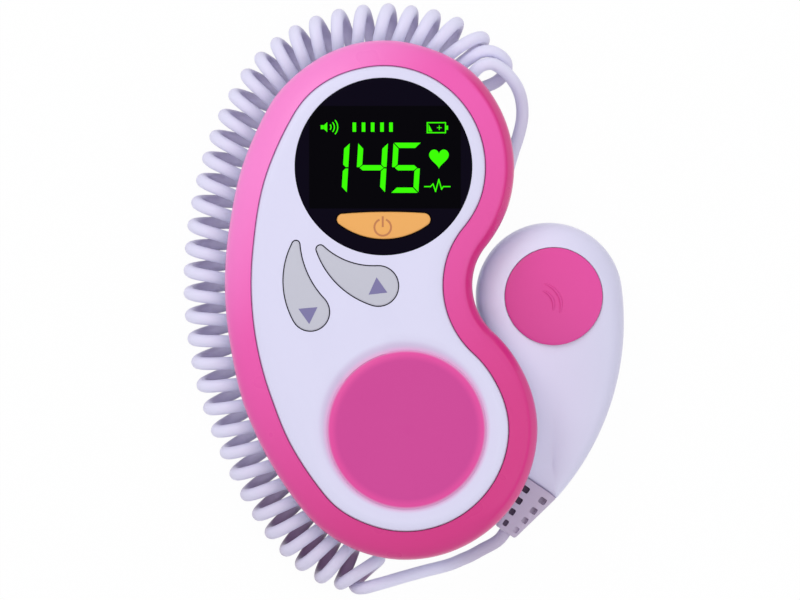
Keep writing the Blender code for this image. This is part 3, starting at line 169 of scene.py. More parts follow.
class MonitorColours(bpy.types.PropertyGroup):
    """Colours of the plastics, the signs and the cord, with painted light and shade on the rim, the palm
    disc, the face round it, the strain relief and the cord.
    """
    white: colour("White", "White face and probe", (221, 219, 243))
    # The rim's tones are painted light and shade: lit at the upper left, a middle tone down the left flank,
    # shaded at the lower right.
    rim_painted_lit: colour("Rim, light", "Pink rim at the upper left", (250, 136, 210))
    rim_painted_mid: colour("Rim, middle", "Pink rim along the left flank", (240, 96, 180))
    rim_painted_shade: colour("Rim, deep", "Pink rim at the lower right", (212, 60, 134))
    # Painted shade on the steep side of the rim down its right flank.
    rim_side_painted_shade: colour("Rim, side", "Steep side of the rim down its right flank", (218, 48, 134))
    palm: colour("Palm disc", "Palm disc's middle", (204, 66, 148))
    palm_painted_sheen: colour("Palm disc, edge", "Palm disc's soft edge", (228, 78, 160))
    # Painted pink reflection of the disc, on the face round it and over the disc's very edge.
    palm_painted_glow: colour("Palm disc, glow", "Pink glow where the disc meets the face", (228, 172, 214))
    palm_shade: colour("Palm disc, shade", "Faint shade on the face above the disc", (206, 192, 222))
    probe_pink: colour("Probe disc", "Probe's disc", (221, 74, 156))
    lens: colour("Window", "Black window", (8, 4, 20))
    screen: colour("Screen", "Darker screen behind the window", (1, 0, 4))
    mark: colour("Lit marks", "Green lit marks", (62, 255, 8))
    orange: colour("Power key", "Orange power key", (238, 172, 92))
    orange_mark: colour("Power sign", "Sign on the power key", (196, 128, 84))
    key: colour("Volume keys", "Grey volume keys", (196, 196, 208))
    arrow: colour("Arrows", "Arrows on the volume keys", (128, 122, 166))
    cord: colour("Cord", "Lilac cord", (229, 227, 249))
    # Painted shade on the cord's low strands and on the lead by the relief.
    cord_painted_shade: colour("Cord, deep", "Low strands at the lower left", (152, 122, 154))
    relief: colour("Relief", "Strain relief and gland", (206, 192, 216))
    # Painted shade down in the strain relief's windows.
    relief_painted_shade: colour("Relief, deep", "Down in the strain relief's windows", (104, 88, 112))


SETTINGS = {"monitor_body": MonitorBody, "monitor_probe": MonitorProbe, "monitor_cord": MonitorCord,
            "monitor_colours": MonitorColours}


def body():
    return bpy.context.scene.monitor_body


def probe():
    return bpy.context.scene.monitor_probe


def cord_sizes():
    return bpy.context.scene.monitor_cord


def colours():
    return bpy.context.scene.monitor_colours


# Plane geometry of the outlines

def apex(first, first_reach, second, second_reach, side):
    """The point at given distances from two others, on one side of their line."""
    along = Vector(first[:2]) - Vector(second[:2])
    spread = along.length
    along.normalize()
    across = Vector((along.y, -along.x)) * side
    run = (second_reach ** 2 - first_reach ** 2 + spread ** 2) / (2 * spread)
    return Vector(second[:2]) + along * run + across * math.sqrt(second_reach ** 2 - run ** 2)


def arc_centre(first, second, radius, side):
    if radius > 0:
        return apex(first, radius - first[2], second, radius - second[2], -side)
    return apex(first, first[2] - radius, second, second[2] - radius, side)


def arc_points(centre, radius, start, end, count):
    """Points on an arc from start up to, but not at, end."""
    turns = [start + (end - start) * index / count for index in range(count)]
    return [Vector((centre[0] + radius * math.cos(a), centre[1] + radius * math.sin(a))) for a in turns]


def turn_after(angle, start):
    return start + (angle - start) % (2 * math.pi)


def two_circle_outline(ends, arcs, inset, counts):
    """Outline of two end circles and two tangent arcs, moved inwards by inset. Bulging
    arcs have positive radii, drawn-in ones negative. Counts are for an end and an arc."""
    first, second = ends
    centres = [arc_centre(first, second, radius, side) for radius, side in zip(arcs, (-1, 1))]

    def contact(circle, centre, radius):
        offset = Vector(circle[:2]) - centre
        return math.atan2(offset.y, offset.x) + (0 if radius > 0 else math.pi)

    def side_arc(index, start, end):
        centre, radius = centres[index], arcs[index]
        if radius > 0:
            return arc_points(centre, radius - inset, start, turn_after(end, start), counts[1])
        start, end = start + math.pi, end + math.pi
        end = start - (start - end) % (2 * math.pi)
        return arc_points(centre, inset - radius, start, end, counts[1])

    first_right = contact(first, centres[1], arcs[1])
    first_left = turn_after(contact(first, centres[0], arcs[0]), first_right)
    second_left = turn_after(contact(second, centres[0], arcs[0]), 0)
    second_right = turn_after(contact(second, centres[1], arcs[1]), second_left)
    points = arc_points(first[:2], first[2] - inset, first_right, first_left, counts[0])
    points += side_arc(0, first_left, second_left)
    points += arc_points(second[:2], second[2] - inset, second_left, second_right, counts[0])
    return points + side_arc(1, second_right, first_right)


UNIT_COUNTS = (72, 44)
KEY_COUNTS = (24, 20)


def unit_outline(inset):
    sizes = body()
    ends = (tuple(sizes.top_lobe), tuple(sizes.low_lobe))
    return two_circle_outline(ends, (sizes.flank_radius, -sizes.waist_radius), inset, UNIT_COUNTS)


def raised(outline, level):
    return [Vector((*point, level)) for point in outline]


def unit_ring(inset, height):
    return raised(unit_outline(inset), height)


def smooth(share):
    share = min(1.0, max(0.0, share))
    return share * share * (3 - 2 * share)


def smooth_between(limits, value):
    low, high = limits
    return smooth((value - low) / (high - low))


def curve_through(keys, values, key):
    """Smooth curve through values at unevenly spaced keys."""
    last = len(keys) - 1

    def slope(i):
        if i == 0:
            return (values[1] - values[0]) / (keys[1] - keys[0])
        if i == last:
            return (values[i] - values[i - 1]) / (keys[i] - keys[i - 1])
        before, after = keys[i] - keys[i - 1], keys[i + 1] - keys[i]
        steep_before = (values[i] - values[i - 1]) / before
        steep_after = (values[i + 1] - values[i]) / after
        return (steep_before * after + steep_after * before) / (before + after)

    i = 0
    while i < last - 1 and key > keys[i + 1]:
        i += 1
    width = keys[i + 1] - keys[i]
    u = (key - keys[i]) / width
    start = values[i] * (2 * u ** 3 - 3 * u ** 2 + 1) + slope(i) * (width * (u ** 3 - 2 * u ** 2 + u))
    return start + values[i + 1] * (3 * u ** 2 - 2 * u ** 3) + slope(i + 1) * (width * (u ** 3 - u ** 2))


def reaches(points):
    """How far along their line each of some points lies."""
    reach = [0.0]
    for before, after in zip(points, points[1:]):
        reach.append(reach[-1] + (after - before).length)
    return reach


def rounded_profile(shares, steps):
    """A smooth run of points through a list of shares, with steps between each two."""
    points = [Vector(pair) for pair in shares]
    reach = reaches(points)
    run = []
    for start, end in zip(reach, reach[1:]):
        run += [curve_through(reach, points, start + (end - start) * i / steps) for i in range(steps)]
    return run + [points[-1]]


# Modelling by Blender's operators

def select_only(piece=None):
    if bpy.context.object and bpy.context.object.mode != "OBJECT":
        bpy.ops.object.mode_set(mode="OBJECT")
    bpy.ops.object.select_all(action="DESELECT")
    if piece:
        piece.select_set(True)
        bpy.context.view_layer.objects.active = piece


def set_loop(piece, order, ring, extruded):
    """Puts a loop of vertices on a ring, point for point, and gives their indices. A
    freshly extruded loop is found across the edges that join it to the loop before."""
    mesh = bmesh.from_edit_mesh(piece.data)
    mesh.verts.index_update()
    mesh.verts.ensure_lookup_table()
    found = []
    for index, point in zip(order, ring):
        vert = mesh.verts[index]
        if extruded:
            across = (edge.other_vert(vert) for edge in vert.link_edges)
            vert = next(other for other in across if other.select)
        vert.co = point
        found.append(vert.index)
    bmesh.update_edit_mesh(piece.data)
    return found


def fill_loop(piece, order):
    bpy.ops.mesh.select_all(action="DESELECT")
    mesh = bmesh.from_edit_mesh(piece.data)
    mesh.verts.ensure_lookup_table()
    for index in order:
        mesh.verts[index].select_set(True)
    mesh.select_flush(True)
    bmesh.update_edit_mesh(piece.data)
    bpy.ops.mesh.edge_face_add()


def loft(name, rings, around=False):
    """A skin over rings of equal count: a circle set on the first ring and extruded from
    ring to ring. It is filled at both ends, or joined round like a hoop."""
    select_only()
    bpy.ops.mesh.primitive_circle_add(vertices=len(rings[0]), radius=GAP)
    piece = bpy.context.object
    piece.name = name
    bpy.ops.object.mode_set(mode="EDIT")
    bpy.ops.mesh.select_all(action="SELECT")
    first = set_loop(piece, range(len(rings[0])), rings[0], extruded=False)
    last = first
    for ring in rings[1:] + (rings[:1] if around else []):
        bpy.ops.mesh.extrude_edges_move()
        last = set_loop(piece, last, ring, extruded=True)
    if around:
        bpy.ops.mesh.select_all(action="SELECT")
        bpy.ops.mesh.remove_doubles(threshold=MERGE / 10)
    else:
        fill_loop(piece, last)
        fill_loop(piece, first)
    face_outwards()
    return piece


def face_outwards():
    bpy.ops.mesh.select_all(action="SELECT")
    bpy.ops.mesh.normals_make_consistent(inside=False)
    bpy.ops.object.mode_set(mode="OBJECT")


def flat_mark(name, outlines, low, thickness):
    """A thin raised sign: each outline is filled and extruded upwards."""
    select_only()
    piece = None
    for outline in outlines:
        bpy.ops.mesh.primitive_circle_add(vertices=len(outline), radius=GAP)
        if piece is None:
            piece = bpy.context.object
            piece.name = name
            bpy.ops.object.mode_set(mode="EDIT")
            bpy.ops.mesh.select_all(action="SELECT")
        mesh = bmesh.from_edit_mesh(piece.data)
        fresh = [vert for vert in mesh.verts if vert.select]
        for vert, point in zip(fresh, outline):
            vert.co = (point[0], point[1], low)
        bmesh.update_edit_mesh(piece.data)
        bpy.ops.mesh.edge_face_add()
        bpy.ops.mesh.extrude_region_move(TRANSFORM_OT_translate={"value": (0, 0, thickness)})
    face_outwards()
    return piece


def full_turn(count):
    return [2 * math.pi * i / count for i in range(count)]


def turned(name, profile, centre, count):
    """A profile of radius and height turned about an upright axis."""
    return loft(name, [[Vector((centre[0] + radius * math.cos(a), centre[1] + radius * math.sin(a), height))
                        for a in full_turn(count)] for radius, height in profile])


def block(name, size, centre):
    """A box, for cutting or as the start of a piece."""
    select_only()
    bpy.ops.mesh.primitive_cube_add(size=1.0, location=centre)
    piece = bpy.context.object
    piece.name = name
    piece.scale = size
    bpy.ops.object.transform_apply(location=True, rotation=True, scale=True)
    return piece


def use_modifier(piece, kind, **values):
    select_only(piece)
    modifier = piece.modifiers.new(kind.lower(), kind)
    for key, value in values.items():
        setattr(modifier, key, value)
    bpy.ops.object.modifier_apply(modifier=modifier.name)


def cut(piece, tool, operation="DIFFERENCE"):
    use_modifier(piece, "BOOLEAN", object=tool, operation=operation, solver="EXACT")
    bpy.data.objects.remove(tool)


def bore(piece, radius, levels, centre, count):
    """Cuts a round upright hole between two levels."""
    cut(piece, turned("bore", [(radius, level) for level in levels], centre, count))


def finish(piece, material, rides_on, replaced=(), angle=32, shift=True):
    """Moves a piece from the plan to its place, smooths it and lets it ride."""
    if shift:
        piece.data.transform(Matrix.Translation(PLAN_SHIFT))
    select_only(piece)
    bpy.ops.object.shade_smooth_by_angle(angle=math.radians(angle))
    piece.data.materials.clear()
    piece.data.materials.append(material)
    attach(piece, rides_on)
    if replaced:
        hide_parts(*replaced)
    return piece


# Material building blocks

def in_world(point):
    """A place of the plan in the frame's coordinates."""
    return (point[0] + PLAN_SHIFT.x, point[1] + PLAN_SHIFT.y, 0.0)


def shader_group(name, inputs, outputs):
    tree = bpy.data.node_groups.new(name, "ShaderNodeTree")
    for label, kind, default in inputs:
        socket = tree.interface.new_socket(label, in_out="INPUT", socket_type=kind)
        socket.default_value = default
    for label, kind in outputs:
        tree.interface.new_socket(label, in_out="OUTPUT", socket_type=kind)
    start = tree.nodes.new("NodeGroupInput")
    end = tree.nodes.new("NodeGroupOutput")
    place_of = tree.nodes.new("ShaderNodeTexCoord").outputs["Object"]
    return tree, start.outputs, end.inputs, place_of


def feed(tree, socket, value):
    """Links a node's output to a socket, or sets the socket to a plain value."""
    if isinstance(value, bpy.types.NodeSocket):
        tree.links.new(value, socket)
    else:
        socket.default_value = value


def add_node(tree, kind, settings=None, feeds=(), **sockets):
    """A node with its settings, whose sockets are fed in their order or by their names."""
    node = tree.nodes.new(kind)
    for key, value in (settings or {}).items():
        setattr(node, key, value)
    for socket, value in zip(node.inputs, feeds):
        feed(tree, socket, value)
    for label, value in sockets.items():
        feed(tree, node.inputs[label.replace("_", " ")], value)
    return node


def add_math(tree, operation, *values, kind="ShaderNodeMath", **settings):
    """The result of arithmetic on values or links. A number made from vectors leaves by the second output."""
    node = add_node(tree, kind, {"operation": operation, **settings}, values)
    return node.outputs[1 if operation in ("DOT_PRODUCT", "LENGTH") else 0]


def add_vector_math(tree, operation, *values):
    return add_math(tree, operation, *values, kind="ShaderNodeVectorMath")


def make_skin_group():
    """Moulded skin: a fine grain, faint flow lines and a slightly uneven gloss."""
    tree, given, out, where = shader_group(
        "moulded skin",
        [("Grain", "NodeSocketFloat", 2600.0), ("Gloss low", "NodeSocketFloat", 0.3),
         ("Gloss high", "NodeSocketFloat", 0.4)],
        [("Height", "NodeSocketFloat"), ("Roughness", "NodeSocketFloat")])
    grain = add_node(tree, "ShaderNodeTexNoise", Vector=where, Scale=given["Grain"], Detail=3.0,
                     Roughness=0.6)
    flow = add_node(tree, "ShaderNodeTexNoise", Vector=where, Scale=70.0, Detail=2.0)
    height = add_math(tree, "MULTIPLY_ADD", flow.outputs["Fac"], 2.0, grain.outputs["Fac"])
    gloss = add_node(tree, "ShaderNodeMapRange", Value=flow.outputs["Fac"], From_Min=0.3, From_Max=0.7,
                     To_Min=given["Gloss low"], To_Max=given["Gloss high"])
    tree.links.new(height, out["Height"])
    tree.links.new(gloss.outputs["Result"], out["Roughness"])
    return tree


def make_sweep_group():
    """A slow change of tone from one side of a piece to the other, with faint clouds."""
    tree, given, out, where = shader_group(
        "tone sweep",
        [("From colour", "NodeSocketColor", (1, 1, 1, 1)), ("To colour", "NodeSocketColor", (1, 1, 1, 1)),
         ("Direction", "NodeSocketVector", (1, -1, 0)), ("Start", "NodeSocketFloat", 0.0),
         ("End", "NodeSocketFloat", 1.0), ("Clouds", "NodeSocketFloat", 0.05)],
        [("Color", "NodeSocketColor")])
    along = add_vector_math(tree, "DOT_PRODUCT", where, given["Direction"])
    ramp = add_node(tree, "ShaderNodeMapRange", {"interpolation_type": "SMOOTHSTEP"}, Value=along,
                    From_Min=given["Start"], From_Max=given["End"])
    noise = add_node(tree, "ShaderNodeTexNoise", Vector=where, Scale=45.0, Detail=2.0)
    centred = add_math(tree, "SUBTRACT", noise.outputs["Fac"], 0.5)
    share = add_math(tree, "MULTIPLY_ADD", centred, given["Clouds"], ramp.outputs["Result"], use_clamp=True)
    tree.links.new(blend_colours(tree, share, given["From colour"], given["To colour"]), out["Color"])
    return tree


def make_round_mask_group():
    """A soft mask that grows from an inner to an outer radius round an upright axis."""
    tree, given, out, where = shader_group(
        "round mask",
        [("Centre", "NodeSocketVector", (0, 0, 0)), ("Inner", "NodeSocketFloat", 0.0),
         ("Outer", "NodeSocketFloat", 1.0)],
        [("Mask", "NodeSocketFloat")])
    offset = add_vector_math(tree, "SUBTRACT", where, given["Centre"])
    reach = add_vector_math(tree, "LENGTH", add_vector_math(tree, "MULTIPLY", offset, (1, 1, 0)))
    mask = add_node(tree, "ShaderNodeMapRange", {"interpolation_type": "SMOOTHSTEP"}, Value=reach,
                    From_Min=given["Inner"], From_Max=given["Outer"])
    tree.links.new(mask.outputs["Result"], out["Mask"])
    return tree


def make_screen_mask_group():
    """A mask of a level rectangle with slightly soft sides."""
    tree, given, out, where = shader_group(
        "screen mask",
        [("Centre", "NodeSocketVector", (0, 0, 0)), ("Half size", "NodeSocketVector", (1, 1, 1)),
         ("Softness", "NodeSocketFloat", 0.0003)],
        [("Mask", "NodeSocketFloat")])
    offset = add_vector_math(tree, "SUBTRACT", where, given["Centre"])
    apart = add_vector_math(tree, "ABSOLUTE", offset)
    axes = add_node(tree, "ShaderNodeSeparateXYZ",
                    Vector=add_vector_math(tree, "SUBTRACT", apart, given["Half size"]))
    most = add_math(tree, "MAXIMUM", axes.outputs["X"], axes.outputs["Y"])
    mask = add_node(tree, "ShaderNodeMapRange", Value=most, From_Min=0.0, From_Max=given["Softness"],
                    To_Min=1.0, To_Max=0.0)
    tree.links.new(mask.outputs["Result"], out["Mask"])
    return tree


GROUP_MAKERS = {"moulded skin": make_skin_group, "tone sweep": make_sweep_group,
                "round mask": make_round_mask_group, "screen mask": make_screen_mask_group}


def use_group(tree, name, **values):
    """Places a shared node group in a material, making it when it is first needed."""
    node = tree.nodes.new("ShaderNodeGroup")
    node.node_tree = bpy.data.node_groups.get(name) or GROUP_MAKERS[name]()
    for label, value in values.items():
        feed(tree, node.inputs[label.replace("_", " ")], value)
    return node


def tone_sweep(tree, first, second, direction=(0.6, -0.8, 0.0), span=(-0.05, 0.06), clouds=0.06):
    """A colour that changes slowly from the first to the second along a direction."""
    sweep = use_group(tree, "tone sweep", From_colour=first, To_colour=second, Direction=direction,
                      Start=span[0], End=span[1], Clouds=clouds)
    return sweep.outputs["Color"]


def round_mask(tree, centre, inner, outer):
    mask = use_group(tree, "round mask", Centre=in_world(centre), Inner=inner, Outer=outer)
    return mask.outputs["Mask"]


def new_material(name, **constants):
    material = bpy.data.materials.new(name)
    material.use_nodes = True
    tree = material.node_tree
    shader = tree.nodes["Principled BSDF"]
    for label, value in constants.items():
        shader.inputs[label.replace("_", " ")].default_value = value
    return material, tree, shader


GRAIN_DEPTH = 0.00004


def add_skin(tree, shader, base, gloss, grain=2600.0, bump=0.06):
    """Colour, grain and uneven gloss of a moulded plastic."""
    tree.links.new(base, shader.inputs["Base Color"])
    skin = use_group(tree, "moulded skin", Grain=grain, Gloss_low=gloss[0], Gloss_high=gloss[1])
    relief = add_node(tree, "ShaderNodeBump", Height=skin.outputs["Height"], Strength=bump,
                      Distance=GRAIN_DEPTH)
    tree.links.new(relief.outputs["Normal"], shader.inputs["Normal"])
    tree.links.new(skin.outputs["Roughness"], shader.inputs["Roughness"])


def opaque(shade, factor=1.0):
    return (*(min(1.0, part * factor) for part in shade), 1.0)


def blend_colours(tree, mask, first, second):
    mix = add_node(tree, "ShaderNodeMix", {"data_type": "RGBA"})
    for index, value in ((0, mask), (6, first), (7, second)):
        feed(tree, mix.inputs[index], value)
    return mix.outputs[2]


def swept_plastic(name, first, second, gloss=(0.3, 0.4), specular=0.4, bump=0.06, **sweep):
    """Moulded plastic whose tone changes slowly over the piece."""
    material, tree, shader = new_material(name, Specular_IOR_Level=specular)
    add_skin(tree, shader, tone_sweep(tree, opaque(first), opaque(second), **sweep), gloss, bump=bump)
    return material


def toned_plastic(name, shade, tones, **style):
    """Moulded plastic that changes slowly between two tones of one colour."""
    first, second = ([part * tone for part in shade] for tone in tones)
    return swept_plastic(name, first, second, **style)


def window_material():
    """Black gloss window with the darker screen behind it."""
    shades = colours()
    material, tree, shader = new_material("window_black", Specular_IOR_Level=0.03)
    screen = use_group(tree, "screen mask", Centre=in_world(SCREEN_CENTRE), Half_size=(*SCREEN_HALF, 1.0))
    mixed = blend_colours(tree, screen.outputs["Mask"], opaque(shades.lens), opaque(shades.screen))
    tree.links.new(mixed, shader.inputs["Base Color"])
    skin = use_group(tree, "moulded skin", Grain=900.0, Gloss_low=0.05, Gloss_high=0.09)
    tree.links.new(skin.outputs["Roughness"], shader.inputs["Roughness"])
    return material


def lit_material():
    """Lit green marks, whose brightness is very slightly uneven."""
    shade = opaque(colours().mark)
    material, tree, shader = new_material("lit_green", Roughness=0.5, Specular_IOR_Level=0.0,
                                          Emission_Strength=1.0)
    light = tone_sweep(tree, shade, opaque(shade[:3], 0.94), (0, -1, 0), (-0.05, 0.05), 0.3)
    tree.links.new(light, shader.inputs["Emission Color"])
    shader.inputs["Base Color"].default_value = (0.0, 0.02, 0.0, 1.0)
    return material


def printed_material(name, shade):
    """Ink of a printed sign, a little uneven."""
    return toned_plastic(name, shade, (1.0, 0.92), clouds=0.5, gloss=(0.5, 0.6), specular=0.2, bump=0.03)


# Pieces of the main unit

RIM_SOFT_SHARES = (
    (0.13, 0.0), (0.03, 0.05), (0.0, 0.16), (0.005, 0.32), (0.04, 0.48), (0.11, 0.61), (0.20, 0.70),
    (0.34, 0.79), (0.54, 0.875), (0.75, 0.94), (0.90, 0.98), (0.975, 1.0),
)
RIM_SHOULDER_SHARES = (
    (0.13, 0.0), (0.03, 0.05), (0.0, 0.14), (0.0, 0.36), (0.045, 0.53), (0.12, 0.67), (0.19, 0.78),
    (0.245, 0.85), (0.29, 0.885), (0.55, 0.935), (0.86, 0.98), (0.975, 1.0),
)
RIM_INNER_SHARES = ((0.63, 0.55), (0.39, 0.41), (0.36, 0.0))
RIM_LEDGE_THICK = GAP * 6
RIM_SHOULDER_FACING = (0.50, 0.80)
RIM_TOP_FACING = (0.45, 0.85)
RIM_TOP_TURNING = (0.75, 0.25)
FLANK = (Vector((-0.050, 0.003)), (0.036, 0.016))
FLANK_DRAW = 0.75
WAIST = (Vector((0.024, -0.006)), (0.034, 0.014))
WAIST_DRAW = 0.55
UPPER_LEFT = (Vector((-0.032, 0.045)), (0.034, 0.012))
LOWER_LEFT = (Vector((-0.028, -0.052)), (0.026, 0.010))
FACE_LEANS = ((WAIST, 0.0006), (UPPER_LEFT, -0.0008), (LOWER_LEFT, -0.0005))
LEAN_RUN = 0.005
CASE_OUTER_SHARES = (
    (1.20, 0.0), (1.13, 0.012), (1.07, 0.05), (1.025, 0.11), (1.0, 0.22), (0.99, 0.5), (0.98, 0.74),
    (0.955, 0.81), (0.90, 0.862), (0.745, 0.89), (0.20, 0.915), (0.12, 0.93), (0.075, 0.96), (0.06, 1.0),
)
CASE_INNER_SHARES = ((1.16, 1.0), (1.18, 0.85), (1.19, 0.15), (1.22, 0.105), (1.30, 0.085))
PLATE_RISE_SHARES = ((0.0, 0.0), (0.025, 0.30), (0.09, 0.52), (0.27, 0.78), (0.62, 0.95), (1.0, 1.0))
PLATE_STEP = 0.0005
PLATE_REACH = 0.0285
DISH_FADE = 0.0030
SHADE_SHIFT = Vector((-0.0007, 0.0011, 0.0))
SHADE_WIDTH = 7 * GAP
GLOW_WIDTH = 5 * GAP
PLATE_EDGE_ROUND = 0.0003
PLATE_CORNER_SHARE = 0.3
PALM_SHARES = (
    (0.30, 1.0), (0.55, 0.985), (0.72, 0.94), (0.84, 0.85), (0.91, 0.70), (0.955, 0.48), (0.98, 0.24),
    (0.995, -0.02), (1.003, -0.25), (1.005, -0.5),
)
PALM_SHEEN_SHARES = (0.86, 0.97)
PALM_FADE = (-2.6 * GAP, 0.5 * GAP)
POWER_KEY = (((-0.0141, 0.0210, 0.0016), (0.0078, 0.0210, 0.0018)), (0.0202, 0.1457))
DOWN_KEY = (((-0.0267, 0.0143, 0.0010), (-0.0228, -0.0039, 0.0051)), (0.0223, -0.0246))
UP_KEY = (((-0.0201, 0.0130, 0.0011), (-0.0045, 0.0031, 0.0054)), (0.0235, -0.0196))
KEY_TOP_SHARES = ((0.0, 0.0), (0.08, 0.38), (0.29, 0.71), (0.62, 0.92), (1.0, 1.0))
KEY_ROUND = 0.0005
KEY_GAP = 0.0003
KEY_SHRINK = 0.00004
KEY_FLANGE_THICK = 0.0012
FACE_TURN_POINTS = 160
SCREEN_CENTRE = (-0.0027, 0.0378)
SCREEN_HALF = (0.0203, 0.0137)


def closeness(point, spot):
    """One near a spot's middle, and nothing beyond its reach."""
    middle, reach = spot
    return smooth_between(reach, (point - middle).length)


def face_ring(inset, height):
    """A ring of the face: near the hoop's inner edge it strays in at the waist and out along the left."""
    near = 1 - smooth(abs(inset - body().rim_width) / LEAN_RUN)
    ring = unit_ring(inset, height)
    inner = unit_ring(inset + GAP, height)
    for index, point in enumerate(unit_outline(0.0)):
        lean = sum(amount * closeness(point, spot) for spot, amount in FACE_LEANS)
        ring[index] += (inner[index] - ring[index]) * (near * lean / GAP)
    return ring


def make_rim():
    """The pink hoop: soft all along the left, with a clear shoulder along the right."""
    sizes = body()
    height = RIM_TOP - RIM_BASE
    outline, moved = unit_outline(0.0), unit_outline(GAP)
    facing = [(point - inner).normalized() for point, inner in zip(outline, moved)]
    shoulder = [smooth_between(RIM_SHOULDER_FACING, outwards.x) for outwards in facing]
    drawn_in = [max(smooth_between(RIM_TOP_FACING, outwards.y) * smooth_between(RIM_TOP_TURNING, outwards.x),
                    FLANK_DRAW * closeness(point, FLANK), WAIST_DRAW * closeness(point, WAIST))
                for point, outwards in zip(outline, facing)]

    def flared(run, share):
        level = RIM_BASE + height * share
        wide = face_ring(sizes.rim_width * run - sizes.rim_flare * (1 - run), level)
        drawn = face_ring(sizes.rim_width * run + GAP * (1 - run), level)
        return [a.lerp(b, part) for a, b, part in zip(wide, drawn, drawn_in)]

    rings = []
    for soft, firm in zip(rounded_profile(RIM_SOFT_SHARES, 3), rounded_profile(RIM_SHOULDER_SHARES, 3)):
        rings.append([a.lerp(b, part)
                      for a, b, part in zip(flared(soft.x, soft.y), flared(firm.x, firm.y), shoulder)])
    ledge_top = RIM_TOP - sizes.rim_ledge_drop
    ledge = sizes.rim_width + sizes.rim_ledge
    for inset, level in ((sizes.rim_width, RIM_TOP - GAP / 2), (sizes.rim_width, ledge_top),
                         (ledge, ledge_top), (ledge, ledge_top - RIM_LEDGE_THICK)):
        rings.append(face_ring(inset, level))
    rings += [face_ring(sizes.rim_width * inset, RIM_BASE + height * share)
              for inset, share in RIM_INNER_SHARES]
    rim = loft("rim", rings, around=True)
    nearest = nearest_index([Vector((*point, 0.0)) for point in unit_outline(-sizes.rim_flare)])

    # Painted shade: the steep side down the right flank, turned away from the light, is marked for a darker
    # tone.
    def flank(where):
        index, inset = nearest((where.x, where.y, 0.0))
        return shoulder[index] * (1 - smooth((inset - sizes.rim_flank) / (2 * GAP)))

    paint(rim, "right_flank_shade", flank)
    finish(rim, rim_material(), "main_unit", ["rim_band"])


def rim_material():
    """Pink plastic with painted light and shade: painted light at the upper left, painted shade at the lower
    right and down the flank.
    """
    shades = colours()
    material, tree, shader = new_material("rim_pink", Specular_IOR_Level=0.22)
    # Painted light at the upper left, turning to painted shade towards the lower right.
    upper = tone_sweep(tree, opaque(shades.rim_painted_lit), opaque(shades.rim_painted_mid), (0.82, -0.57, 0.0),
                       (-0.062, -0.028), 0.05)
    whole = tone_sweep(tree, upper, opaque(shades.rim_painted_shade), (0.7, -0.714, 0.0), (-0.045, 0.050), 0.05)
    # Painted shade on the steep side down the right flank.
    side = add_node(tree, "ShaderNodeAttribute", {"attribute_name": "right_flank_shade"})
    mixed = blend_colours(tree, side.outputs["Fac"], whole, opaque(shades.rim_side_painted_shade))
    add_skin(tree, shader, mixed, (0.26, 0.34))
    return material


def plate_height(inset):
    sizes = body()
    run = (inset - sizes.rim_width - SEAM) / sizes.plate_run
    share = 1.0 if run >= 1 else curve_through(*zip(*PLATE_RISE_SHARES), max(0.0, run))
    return PLATE_TOP - sizes.plate_crown * (1 - share)


def dish_drop(point):
    sizes = body()
    away = (Vector(point[:2]) - Vector(sizes.palm_centre)).length - sizes.palm_radius
    return sizes.dish_depth * (1 - smooth(away / sizes.dish_width))


def key_outline(key, inset):
    return two_circle_outline(*key, inset, KEY_COUNTS)


def key_opening(key, levels):
    return loft("opening", [raised(key_outline(key, KEY_SHRINK - KEY_GAP), level) for level in levels])


def make_plate():
    """The white face: crowned, dished round the palm disc, and cut for all that it holds."""
    sizes = body()
    edge = sizes.rim_width + SEAM
    lip = edge + sizes.rim_ledge - 2 * GAP
    under = PLATE_TOP - sizes.plate_thick
    rings = [face_ring(PLATE_REACH - PLATE_STEP, under), face_ring(lip + sizes.plate_run, under),
             face_ring(lip, under), face_ring(lip, PLATE_BASE), face_ring(edge, PLATE_BASE)]
    top_edge = plate_height(edge)
    rings += [face_ring(edge, top_edge - PLATE_EDGE_ROUND),
              face_ring(edge + PLATE_EDGE_ROUND * PLATE_CORNER_SHARE,
                        top_edge - PLATE_EDGE_ROUND * PLATE_CORNER_SHARE)]
    inset = edge + PLATE_EDGE_ROUND
    while inset < PLATE_REACH:
        ring = face_ring(inset, plate_height(inset))
        fade = smooth((PLATE_REACH - PLATE_STEP - inset) / DISH_FADE)
        rings.append([point - Vector((0, 0, dish_drop(point) * fade)) for point in ring])
        inset += PLATE_STEP
    plate = loft("face_plate", rings)
    levels = (under - CUT_OVERRUN, PLATE_TOP + CUT_OVERRUN)
    bore(plate, sizes.lens_radius + SEAM, levels, LENS_PLAN, FACE_TURN_POINTS)
    bore(plate, sizes.palm_radius - SEAM, levels, sizes.palm_centre, FACE_TURN_POINTS)
    for key in (DOWN_KEY, UP_KEY):
        cut(plate, key_opening(key, levels))
    finish(plate, plate_material(), "main_unit", ["front_panel"], angle=30)


def plate_material():
    """White plastic with a painted pink reflection of the palm disc round it, and a faint painted shade above
    it.
    """
    sizes, shades = body(), colours()
    material, tree, shader = new_material("face_white", Specular_IOR_Level=0.35)
    white = tone_sweep(tree, opaque(shades.white), opaque(shades.white, 0.97), clouds=0.3)
    middle, radius = Vector((*sizes.palm_centre, 0.0)), sizes.palm_radius
    # Painted shade on the face at the disc's upper left, where the dish turns from the light.
    shade = round_mask(tree, middle + SHADE_SHIFT, radius, radius + SHADE_WIDTH)
    mixed = blend_colours(tree, shade, opaque(shades.palm_shade), white)
    # Painted reflection: the disc's pink glow on the face just round it.
    glow = round_mask(tree, middle, radius - GAP, radius + GLOW_WIDTH)
    add_skin(tree, shader, blend_colours(tree, glow, opaque(shades.palm_painted_glow), mixed), (0.30, 0.38))
    return material


